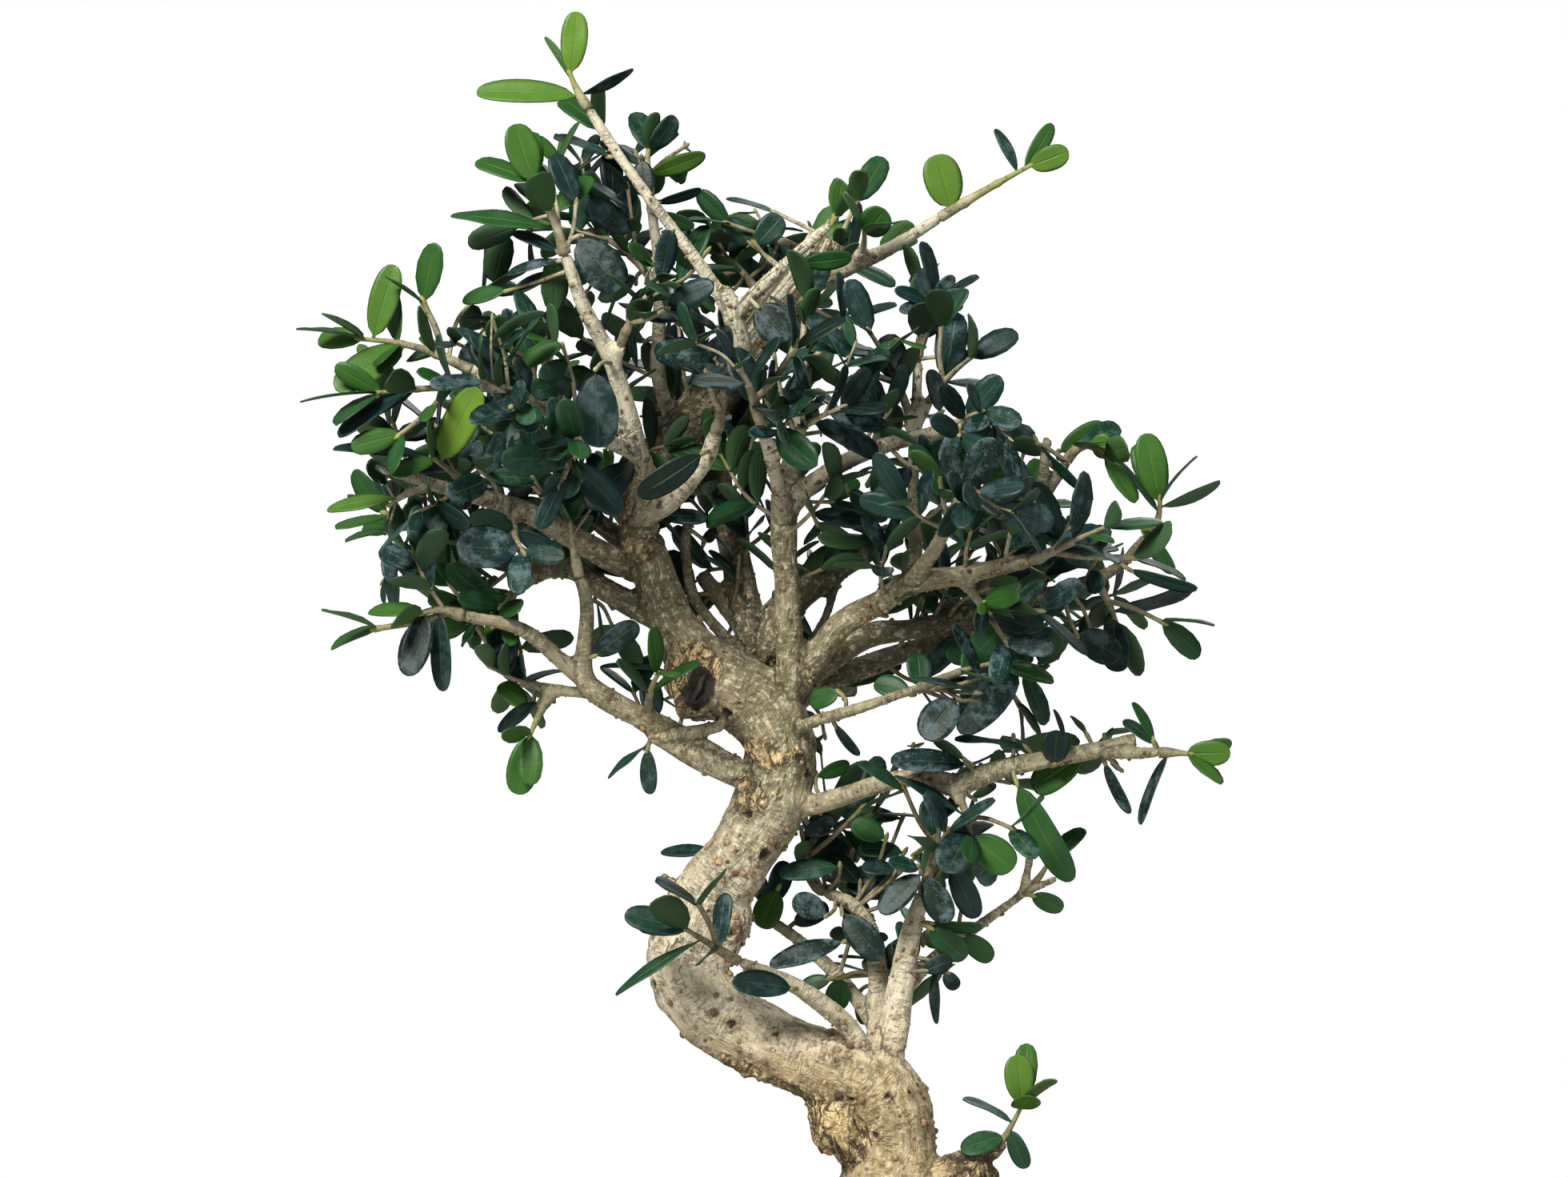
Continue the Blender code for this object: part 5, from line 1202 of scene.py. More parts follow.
def walkAlong(path, walked=0.0):
    # each point of a path, turned without twist, and how far along it lies
    turn = aim = None
    for index, (centre, radius) in enumerate(path):
        ahead = (path[min(index + 1, len(path) - 1)][0] - path[max(index - 1, 0)][0]).normalized()
        turn = ahead.to_track_quat("Z", "Y") if turn is None else aim.rotation_difference(ahead) @ turn
        aim = ahead
        walked += (centre - path[index - 1][0]).length if index else 0
        yield index, centre, radius, turn, walked


def addTwig(bm, path, knots, youth):
    # a round stem with knuckles where its leaves stand and a bud at its tip
    line = smoothPath(path, twigForm["step"])
    total = pathLength(line)
    tip, thin = line[-1]
    aim = (tip - line[-2][0]).normalized()
    for share, width in ((0.4, 1.15), (0.8, 0.75), (1, 0.15)):
        line.append((tip + aim * twigForm["bud"] * share, thin * width))
    layer = bm.verts.layers.float_color["leaf"]
    old = None
    for _, centre, radius, turn, walked in walkAlong(line):
        near = min((abs(walked / total - knot) * total for knot in knots), default=1)
        radius *= 1 + (twigForm["knuckle"] - 1) * max(0, 1 - near / twigForm["knuckleReach"])
        place = Matrix.LocRotScale(centre, turn, Vector((radius, radius, radius)))
        if old is None:
            verts = bmesh.ops.create_circle(bm, segments=twigForm["sides"], radius=1, matrix=place)["verts"]
            edges = list(dict.fromkeys(edge for vert in verts for edge in vert.link_edges))
            bmesh.ops.contextual_create(bm, geom=edges)
        else:
            grown = bmesh.ops.extrude_edge_only(bm, edges=edges)["geom"]
            verts = [item for item in grown if isinstance(item, bmesh.types.BMVert)]
            edges = [item for item in grown if isinstance(item, bmesh.types.BMEdge)
                     and item.verts[0] in verts and item.verts[1] in verts]
            bmesh.ops.transform(bm, matrix=place @ old.inverted(), verts=verts)
        old = place
        greener = min(1.0, youth * 0.5 + 0.75 * (walked / total) ** 2 * (0.4 + youth))
        for vert in verts:
            vert[layer] = (greener, 0.5, 1.0, 0.5)
            for face in vert.link_faces:
                face.material_index = 1
    bmesh.ops.contextual_create(bm, geom=edges)


def startPiece():
    bm = bmesh.new()
    bm.loops.layers.uv.new("UVMap")
    bm.verts.layers.float_color.new("leaf")
    return bm


def finishPiece(name, bm, materials, smooth=True):
    mesh = bpy.data.meshes.new(name)
    bm.normal_update()              # recalc goes by it, and the corners have moved
    bmesh.ops.recalc_face_normals(bm, faces=bm.faces)
    for face in bm.faces:
        face.smooth = smooth
    bm.to_mesh(mesh)
    bm.free()
    piece = addObject(name, mesh)
    for surface in materials:
        mesh.materials.append(surface)
    return piece


def makeLumps(name, lumps, materials, draw):
    # many small uneven balls, put together a batch at a time
    whole = startPiece()
    batch = 60
    for first in range(0, len(lumps), batch):
        part = startPiece()
        layer = part.verts.layers.float_color["leaf"]
        for place, uneven, tint in lumps[first:first + batch]:
            ball = bmesh.ops.create_icosphere(part, subdivisions=1, radius=1, matrix=place)["verts"]
            centre = place.translation
            for vert in ball:
                vert.co += (vert.co - centre) * draw.uniform(-uneven, uneven)
                vert[layer] = tint
        mesh = bpy.data.meshes.new("batch")
        part.to_mesh(mesh)
        part.free()
        whole.from_mesh(mesh)
        bpy.data.meshes.remove(mesh)
    return finishPiece(name, whole, materials, smooth=False)


# Leaf finish

leafColours = {
    "old": colour(4, 25, 19),
    "oldBlue": colour(9, 37, 37),
    "middle": colour(25, 64, 26),
    "fresh": colour(52, 90, 30),
    "young": colour(88, 120, 38),
    "under": colour(62, 90, 54),
    # whitish specks and bloom, and the painted bluish sheen of older leaves
    "dustAndSheen": colour(120, 144, 150),
    "rim": colour(28, 44, 18),
}


def makeLeafMaterial():
    surface, shader, place = startMaterial("olive leaf")
    shader.inputs["IOR"].default_value = 1.42
    shader.inputs["Specular IOR Level"].default_value = 0.28
    youth, dustAndSheenShare, top = painted(place, "leaf")
    flat = place.node("TexCoord", out=2)
    across, along, _ = split(flat, "SeparateXYZ")
    offCentre = place.maths("ABSOLUTE", across - 0.5) * 2.0
    rib = step(offCentre, 0.10, 0.03) * step(along, 1.0, 0.7)
    rim = step(offCentre, 0.86, 0.98)
    patches = grains(place, 260, 3)
    specks = grains(place, 1500, 2, 0.7)
    tint = place.node("ValToRGB", {"stops": [
        (0.0, leafColours["old"]), (0.12, leafColours["oldBlue"]), (0.32, leafColours["middle"]),
        (0.6, leafColours["fresh"]), (1.0, leafColours["young"])]}, {0: youth + (patches - 0.5) * 0.16})
    veins = place.node("TexWave", {"wave_type": "BANDS", "bands_direction": "Y"},
                       {"Vector": flat, "Scale": 3.2, "Distortion": 1.5, "Detail": 1.0}, out=1)
    tint = blend(rib * (0.1 + youth * 0.25), tint, leafColours["young"])
    tint = blend(rim * step(youth, 0.4, 0.7) * 0.6, tint, leafColours["rim"])
    old = step(youth, 0.4, 0.12) * top
    # whitish specks on the upper side of older leaves
    film = step(specks, 0.62, 0.72) * step(dustAndSheenShare, 0.4, 0.9) * old
    # patches of whitish bloom with a painted bluish sheen, on the upper side of older leaves
    bloomAndSheen = step(grains(place, 230, 5, 0.7), 0.45, 0.68) * dustAndSheenShare * old
    tint = blend(film * 0.45, blend(bloomAndSheen * 0.38, tint, leafColours["dustAndSheen"]), leafColours["dustAndSheen"])
    shade = grains(place, 90, 2)
    tint = blend((1.0 - top) * (0.4 + shade * 0.3), tint, leafColours["under"])
    rough = 0.43 + film * 0.3 + bloomAndSheen * 0.25 + (1.0 - top) * 0.22 + (patches - 0.5) * 0.15
    height = rib * -0.7 + veins * 0.035 + specks * 0.25 + patches * 0.5
    relief = bump(height, 0.25 * mm, 0.7)
    feed(shader, base=tint, rough=rough, normal=relief)
    return surface


barkColours = {
    "cream": colour(224, 214, 188),
    "warm": colour(184, 163, 120),
    "tan": colour(134, 125, 92),
    "rose": colour(164, 146, 116),
    "olive": colour(100, 102, 70),
    "grey": colour(136, 131, 105),
    "young": colour(196, 191, 168),
    "fibre": colour(78, 67, 42),
    # pale bark; on the fine mottle it is also a painted highlight
    "pale": colour(230, 221, 194),
    "wart": colour(184, 152, 112),
    "wartDark": colour(70, 54, 34),
    "cork": colour(226, 198, 146),
    "corkDark": colour(54, 38, 20),
    # painted shade: laid on bark at the back of the tree high up, and inside the crown
    "shade": colour(74, 72, 50),
    # dark wood with painted shade, in the knot's hollow and the wounds
    "scarAndShade": colour(22, 16, 18),
    "twig": colour(178, 170, 144),
    "twigGreen": colour(122, 126, 66),
}


def coats(tint, layers):
    # each layer's colour over those before it, by its share
    for share, name in layers:
        tint = blend(share, tint, barkColours[name])
    return tint


def makeTwigMaterial():
    surface, shader, place = startMaterial("twig bark")
    greenness = painted(place, "leaf")[0]
    streaks = grains(place, 700, 4, 0.6)
    patches = grains(place, 160, 3)
    dots = step(grains(place, 900, 1), 0.62, 0.70)
    height = split(place, "SeparateXYZ")[2]
    tint = blend(step(streaks, 0.3, 0.7), colour(84, 80, 57), colour(128, 120, 92))
    tint = coats(tint, [
        (step(patches, 0.35, 0.65) * step(height, 0.22, 0.32) * 0.8, "twig"),
        (step(greenness, 0.25, 0.9), "twigGreen"),
        (dots * 0.5, "wartDark"),
    ])
    relief = bump(streaks + dots * 0.6, 0.3 * mm, 0.8)
    feed(shader, base=tint, rough=0.62 + streaks * 0.2, normal=relief)
    return surface


leafMaterial = makeLeafMaterial()
twigMaterial = makeTwigMaterial()


def makeSprays():
    for name in sprays:
        draw = random.Random("leaf looks " + name)
        bm = startPiece()
        youth = sprays[name][5]
        start, thick = feet[name]
        stem = stems[name]
        run = [(start, thick)] + (stem[1:] if sprays[name][1] == 1 else stem)
        total = pathLength(run)
        count = int(pathLength(stem) / foliage["spacing"]) + 1
        knots = [1 - index * foliage["spacing"] / total for index in range(count)]
        addTwig(bm, run, knots, youth)
        for shoot in shoots[name]:
            addTwig(bm, shoot, [1.0], youth)
        for number, leaf in enumerate(leaves[name]):
            addLeaf(bm, leaf, draw, finePattern if number < len(keyLeaves.get(name, ())) else leafPattern)
        piece = finishPiece(name + "_leaves", bm, [leafMaterial, twigMaterial])
        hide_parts(name)
        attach(piece, "root")


def makeSprouts():
    for limb in sorted({*sprouts, *pictureSprouts}):
        draw = random.Random("leaf looks " + limb)
        bm = startPiece()
        for sprout, blades, youth in sprouts.get(limb, []):
            addTwig(bm, sprout, [1.0], youth)
            for leaf in blades:
                addLeaf(bm, leaf, draw)
        for peg, blades, youth in pictureSprouts.get(limb, []):
            addTwig(bm, peg, [1.0], youth)
            addLeaf(bm, blades[0], draw, finePattern)
        piece = finishPiece("sprouts_" + limb, bm, [leafMaterial, twigMaterial])
        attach(piece, "root")


makeSprays()
makeSprouts()
print("leaves and twigs made")

# Wood: the limbs run together under one bark

wood = {
    "voxel": 0.95 * mm,
    "smoothing": 4,
    "flute": 0.10,                  # depth of the long folds, over the radius
    "lumps": 0.10,
    "wrinkle": 0.22 * mm,
    "reach": 24 * mm,               # how far a limb's own grain can be looked for
    "warts": 2300,
    "wartRadius": (0.3 * mm, 1.15 * mm),
    "wartSpacing": 1.8 * mm,
    "wartLowest": 54 * mm,
    "wartStain": 2.1,               # reach of the stain round a wart, over its radius
    # half sizes, centre, lean of the top to the right
    "lumpSizes": {
        "burl": ((6.4, 6.2, 9.8), (19.8, -4, 112), -38),
        "burlRight": ((7, 6, 5.6), (52, -4.5, 100), 0),
        "knot": ((5.4, 4, 7.4), (-15, -6.6, 222.8), 20),
        "shoulder": ((8.2, 7, 10), (-15.5, -1, 224), -20),
        "innerBend": ((4.5, 6, 9), (-7, 1, 161), 20),
        "neckRight": ((5.5, 7, 12), (-3.2, 0, 177), 30),
    },
    "corky": ("burl", "burlRight"),
    "flakes": {                     # rough bark that lies on the limbs without a lump
        "bendLeft": ((5.5, 8, 1.8), (-3.5, -4, 127.2), 24),
        "bendRight": ((7, 8, 2.2), (7, -4, 121.6), 22),
        "fork": ((5, 5, 3), (-30, -4, 256), 0),
        "collar": ((9, 8, 3.6), (2, -6, 206), 10),
        "neck": ((6, 7, 5), (-2, -6, 196), 14),
        "bend": ((3, 7, 2.4), (-5, -6, 162), 30),
        "stubFoot": ((5, 7, 4), (44, -6, 93), 30),
    },
    "hollow": {"centre": (-15.2, 222.2), "size": (3.5, 5.5), "lean": 25, "depth": 3.4 * mm},
    "stubs": [                      # cut twigs, seen against the light
        [(-9, -6, 213, 1.9), (-17, -8, 211.6, 1.6), (-23.6, -9, 210.6, 1.3)],
        [(-18, 2, 169, 2.2), (-22, 1, 173, 1.4), (-24.4, 0, 176, 1)],
        [(2, 6, 230, 4), (6, 7, 241, 4.4), (12, 9, 248, 4.4), (20, 12, 252.5, 3.4), (28, 15, 256.5, 2.4),
         (36, 18, 260, 1.8)],
        [(-2, -3, 199, 3.4), (-14, -5, 204.5, 3.3), (-27, -7, 211.5, 2.6)],
        [(12, 6, 232, 1.5), (16.5, 8, 240, 1.3), (19, 10, 247, 1.2), (24, 12, 256, 1)],
        [(1, 4, 218, 4.4), (0, 8, 229, 4.3), (-4.5, 14, 246, 3.9), (-9, 20, 264, 3)],
        [(66, 5, 170.6, 1.5), (67, 4, 176, 1.3), (67.7, 3, 180.5, 1.2)],
        [(66, 5, 170.6, 1.4), (70, 4, 172.6, 1.2), (74.6, 3, 174.6, 1)],
    ],
    # x, y and radius of the roots that wind on over the soil
    "roots": [
        [(18, -11, 7.5), (8, -20, 5.8), (-2, -26, 4.4), (-12, -27, 3.2), (-22, -32, 2.2), (-30, -33, 1.4)],
        [(43, -12, 7), (50, -23, 5.2), (57, -31, 3.8), (61, -40, 2.6), (67, -46, 1.6)],
        [(16, 3, 7.5), (4, 6, 5.6), (-7, 6, 4.2), (-18, 10, 3), (-28, 10, 1.8)],
        [(30, 14, 7), (25, 26, 5.2), (17, 35, 3.8), (13, 44, 2.6), (6, 50, 1.6)],
        [(50, 5, 7), (62, 10, 5), (70, 18, 3.4), (78, 21, 2.2), (84, 28, 1.4)],
        [(52, -4, 5), (63, -7, 3.4), (72, -6, 2.4), (80, -10, 1.5)],
    ],
    # x, z, radius and depth of old wounds, as seen from the front
    "wounds": [
        (-8, 216.4, 2, 0.5), (-5, 218.8, 1.1, 0.6), (1.4, 180.6, 2.4, 0.5), (-7.6, 161, 1.6, 0.7),
        (-26, 148.6, 1.7, 0.5), (-7, 139.2, 1.7, 0.6), (37, 122, 1.2, 0.5), (19, 130, 1, 0.5),
        (9.6, 205, 1.5, 0.5), (-3, 191, 1.6, 0.6), (28, 88, 1.8, 0.6), (41, 78, 2.2, 0.6),
        (-5.9, 181.6, 1.2, 0.5), (-12.7, 166.8, 1, 0.4), (4.1, 136.4, 1.3, 0.5), (31.5, 121.4, 1.3, 0.5),
        (29, 111.4, 1.4, 0.5), (12, 201, 1.5, 0.5), (22.8, 120.2, 1.1, 0.4),
    ],
}


def growLimbs(paths):
    curve = bpy.data.curves.new("limbs", "CURVE")
    curve.dimensions = "3D"
    curve.bevel_depth = mm
    curve.bevel_resolution = 5
    curve.use_fill_caps = True
    for path in paths:
        spline = curve.splines.new("POLY")
        spline.points.add(len(path) - 1)
        for point, (centre, radius) in zip(spline.points, path):
            point.co = (*centre, 1)
            point.radius = radius / mm
    return applied(addObject("limbs", curve))


def ellipsoid(size, centre, tilt):
    return (Matrix.Translation(Vector(centre) * mm) @ Matrix.Rotation(math.radians(tilt), 4, "Y")
            @ Matrix.Diagonal((*(Vector(size) * mm), 1)))


soilSurface = BVHTree.FromObject(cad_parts["soil"], bpy.context.evaluated_depsgraph_get())


def woodForm():
    # every limb, foot and lump in one closed skin of even small faces
    paths = {name: smoothPath(path, 3 * mm) for name, path in limbPaths.items()}
    stubs = [smoothPath([(Vector(point[:3]) * mm, point[3] * mm) for point in stub], 2 * mm)
             for stub in wood["stubs"]]
    for root in wood["roots"]:
        line = []
        for number, (x, y, radius) in enumerate(root):
            sunk = 0.3 - 1.3 * (number / (len(root) - 1)) ** 1.6
            soilTop = soilSurface.ray_cast(Vector((x * mm, y * mm, 0.2)), Vector((0, 0, -1)))[0]
            line.append((soilTop + Vector((0, 0, sunk * radius * mm)), radius * mm))
        stubs.append(smoothPath(line, 2.5 * mm))
    collars = []
    for name, (start, thick) in feet.items():
        if sprays[name][1] < 1:
            stem = stems[name]
            collars.append([(start, thick * 1.5), (stem[0][0], thick * 1.12)])
    mesh = growLimbs([*paths.values(), *stubs, *collars])
    bm = bmesh.new()
    bm.from_mesh(mesh)
    bmesh.ops.remove_doubles(bm, verts=bm.verts, dist=0.01 * mm)
    for measures in wood["lumpSizes"].values():
        bmesh.ops.create_icosphere(bm, subdivisions=3, radius=1, matrix=ellipsoid(*measures))
    bm.to_mesh(mesh)
    bm.free()
    form = addObject("form", mesh)
    remesh = form.modifiers.new("skin", "REMESH")
    remesh.mode = "VOXEL"
    remesh.voxel_size = wood["voxel"]
    soften = form.modifiers.new("soften", "SMOOTH")
    soften.iterations = wood["smoothing"]
    return applied(form), [*paths.values(), *stubs]


def smoothShare(value, low, high):
    t = min(max((value - low) / (high - low), 0), 1)
    return t * t * (3 - 2 * t)


def readGrain(points, paths):
    # how each point lies on its limb: beside the middle line, along it, past its end, and the radius
    count = len(points)
    best = np.full(count, 1.0)
    along = np.zeros((count, 3), np.float32)
    radii = np.zeros(count)
    past = np.full(count, -1.0)
    for number, path in enumerate(paths):
        # the grain of each limb starts elsewhere in the pattern
        for index, centre, radius, turn, walked in walkAlong(path, 97 * number * mm):
            offset = points - np.array(centre)
            near = np.flatnonzero(np.abs(offset).max(axis=1) < wood["reach"])
            local = offset[near] @ np.array(turn.to_matrix())
            depth = np.hypot(local[:, 0], local[:, 1]) - radius + 0.35 * np.abs(local[:, 2])
            better = depth < best[near]
            near, local = near[better], local[better]
            best[near] = depth[better]
            along[near] = local + (0, 0, walked)
            radii[near] = radius
            past[near] = local[:, 2] if index == len(path) - 1 else -1.0
    return along, radii, past


def evened(values, skin, rounds):
    # each point takes the mean of itself and its neighbours
    ends = np.empty(len(skin.edges) * 2, np.int32)
    skin.edges.foreach_get("vertices", ends)
    first, second = ends[::2], ends[1::2]
    links = np.bincount(ends, minlength=len(values)) + 1.0
    for _ in range(rounds):
        total = values + np.bincount(first, values[second], len(values))
        values = (total + np.bincount(second, values[first], len(values))) / links
    return values


def carveKnot(point, normal):
    # the hollow of a lost limb: how far it moves the bark, how dark it is with its dark wood and painted
    # shade, and the cork round it
    hole = wood["hollow"]
    if normal.y > 0.3 or abs(point.x - hole["centre"][0] * mm) > 14 * mm:
        return 0, 0, 0
    lean = math.radians(hole["lean"])
    x, z = point.x / mm - hole["centre"][0], point.z / mm - hole["centre"][1]
    across, up = x * math.cos(lean) - z * math.sin(lean), x * math.sin(lean) + z * math.cos(lean)
    wobble = 1 + 0.22 * noise.noise(point * 260) + 0.1 * noise.noise(point * 700)
    reach = math.hypot(across / hole["size"][0], up / hole["size"][1]) * wobble
    inside = smoothShare(reach, 1.05, 0.7)
    plug = smoothShare(abs(across + 0.8 * noise.noise(point * 300)), 1.5, 0.4) * inside
    lip = smoothShare(abs(reach - 1.28), 0.34, 0.05)
    push = (0.9 * lip - hole["depth"] / mm * inside + 1.5 * plug) * mm
    around = math.hypot((across + 2.6) / 8, (up - 1.6) / 9.5) * wobble
    cork = smoothShare(around, 1.05, 0.8) * smoothShare(across, 4.4, 2.0) * (1 - inside)
    return push, smoothShare(reach, 1.14, 0.94) * (1 - 0.35 * plug), cork


def carveBark(skin, paths):
    # moves each point in or out along its normal and notes what kind of bark it has
    count = len(skin.vertices)
    flat = np.empty(count * 3)
    skin.vertices.foreach_get("co", flat)
    along, radii, past = readGrain(flat.reshape(-1, 3), paths)
    radii = evened(radii, skin, 14)
    bm = bmesh.new()
    bm.from_mesh(skin)
    bm.normal_update()
    tree = BVHTree.FromBMesh(bm)
    wounds = []
    for x, z, radius, depth in wood["wounds"]:
        hit = tree.ray_cast(Vector((x * mm, -0.2, z * mm)), Vector((0, 1, 0)))[0]
        if hit:
            wounds.append((hit, radius * mm, depth * mm))
    lumpy = [ellipsoid(*wood["lumpSizes"][name]).inverted() for name in wood["corky"]]
    flaky = [ellipsoid(*measures).inverted() for measures in wood["flakes"].values()]
    marks = np.zeros((count, 4), np.float32)
    moved = []
    for index, vert in enumerate(bm.verts):
        point = vert.co
        beside = Vector(along[index])
        size = min(radii[index], 10 * mm)
        wobble = 0.25 * noise.noise(point * 300)
        push = wood["flute"] * size * noise.noise(Vector((beside.x, beside.y, beside.z * 0.12)) * 170)
        push += wood["lumps"] * size * noise.noise(point * 120)
        folds = abs(noise.noise(Vector((beside.x, beside.y, beside.z * 0.35)) * 620))
        push += wood["wrinkle"] * (0.35 - folds) * smoothShare(size, 1.5 * mm, 5 * mm)
        cork = max(smoothShare((space @ point).length + wobble, 1.45, 1.05) for space in lumpy)
        ragged = 2.6 * wobble + 0.6 * noise.noise(point * 900)
        cork = max([cork] + [0.9 * smoothShare((space @ point).length + ragged, 1.0, 0.7) for space in flaky])
        moveBy, scarAndShade, corky = carveKnot(point, vert.normal)
        push += moveBy
        cork = max(cork, corky)
        if cork > 0:
            strip = Vector((point.x + 0.4 * point.z, point.y, 0.35 * point.z))
            # low in the cracks between plates, high on the plates
            near = noise.voronoi(strip * 300)[0]
            plates = min(1.0, (near[1] - near[0]) * 2.2) - 0.5
            push += cork * (plates * 1.7 + noise.noise(strip * 520)) * mm
        for centre, reach, depth in wounds:
            near = (point - centre).length / reach
            if near < 1.9:
                near *= 1 + 0.45 * noise.noise(point * 420)
                lip = smoothShare(abs(near - 1), 0.45, 0.1)
                push += depth * (0.7 * lip - 1.4 * smoothShare(near, 0.8, 0.35))
                # the middle of a wound: dark wood with painted shade
                scarAndShade = max(scarAndShade, 0.7 * smoothShare(near, 1.0, 0.5))
                cork = max(cork, 0.5 * smoothShare(near, 1.5, 1.0))
        cork = max(cork, 0.7 * smoothShare(past[index], -0.7 * mm, 0.2 * mm))
        marks[index] = (cork, 0, scarAndShade, smoothShare(radii[index], 5 * mm, 1.6 * mm))
        moved.append(push)
    for vert, push in zip(bm.verts, moved):
        vert.co += vert.normal * push
    bm.to_mesh(skin)
    bm.free()
    return along, marks, radii


def spreadMark(bm, index, centre, reach, barkMarks):
    # the stain round a wart fades over its neighbours
    seen = {bm.verts[index]}
    edge = list(seen)
    while edge:
        vert = edge.pop()
        near = (vert.co - centre).length / reach
        if near < 1:
            barkMarks[vert.index][1] = max(barkMarks[vert.index][1], 0.8 * (1 - near))
            others = {link.other_vert(vert) for link in vert.link_edges} - seen
            seen |= others
            edge += others


def makeWarts(skin, marks, radii):
    # raised pores: small rough domes, sunk into the bark
    draw = random.Random("warts")
    bm = bmesh.new()
    bm.from_mesh(skin)
    bm.verts.ensure_lookup_table()
    cells = set()
    lumps = []
    for _ in range(wood["warts"] * 12):
        if len(lumps) >= wood["warts"]:
            break
        vert = bm.verts[draw.randrange(len(marks))]
        cell = tuple(int(part / wood["wartSpacing"]) for part in vert.co)
        slim = smoothShare(radii[vert.index], 7 * mm, 3 * mm)
        crowd = smoothShare(noise.noise(vert.co * 55) - 0.35 * vert.normal.z, -0.05, 0.45)
        crowd = 0.1 + 0.3 * slim + 0.9 * crowd
        if draw.random() > crowd or cell in cells or vert.co.z < wood["wartLowest"]:
            continue
        if marks[vert.index][0] > 0.3 or marks[vert.index][2] > 0.1:
            continue
        cells.add(cell)
        small = 0.5 + 0.5 * smoothShare(radii[vert.index], 1.2 * mm, 7 * mm)
        low, high = wood["wartRadius"]
        radius = (low + (high - low) * draw.random() ** 1.6) * small
        turn = vert.normal.to_track_quat("Z", "Y") @ Quaternion((0, 0, 1), draw.uniform(0, 3))
        size = Vector((radius * draw.uniform(0.8, 1.35), radius, radius * draw.uniform(0.6, 1.1)))
        centre = vert.co + vert.normal * (0.05 * mm)
        tone = draw.random() * (0.6 if vert.co.z > 0.19 else 1)
        lumps.append((Matrix.LocRotScale(centre, turn, size), 0.25, (tone, draw.random(), 0, 1)))
        spreadMark(bm, vert.index, vert.co.copy(), wood["wartStain"] * radius, marks)
    bm.free()
    piece = makeLumps("bark_warts", lumps, [makeWartMaterial()], draw)
    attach(piece, "root")


def makeWartMaterial():
    surface, shader, place = startMaterial("bark warts")
    tone = painted(place, "leaf")[0]
    crumbs = grains(place, 1500, 4, 0.7)
    tint = place.node("ValToRGB", {"stops": [
        (0.0, barkColours["wartDark"]), (0.3, colour(122, 98, 66)), (0.65, colour(168, 140, 100)),
        (1.0, barkColours["wart"])]}, {0: tone})
    tint = blend(step(crumbs, 0.6, 0.4) * 0.35, tint, barkColours["corkDark"])
    feed(shader, base=tint, rough=0.75 + crumbs * 0.15, normal=bump(crumbs, 0.4 * mm, 0.8))
    return surface


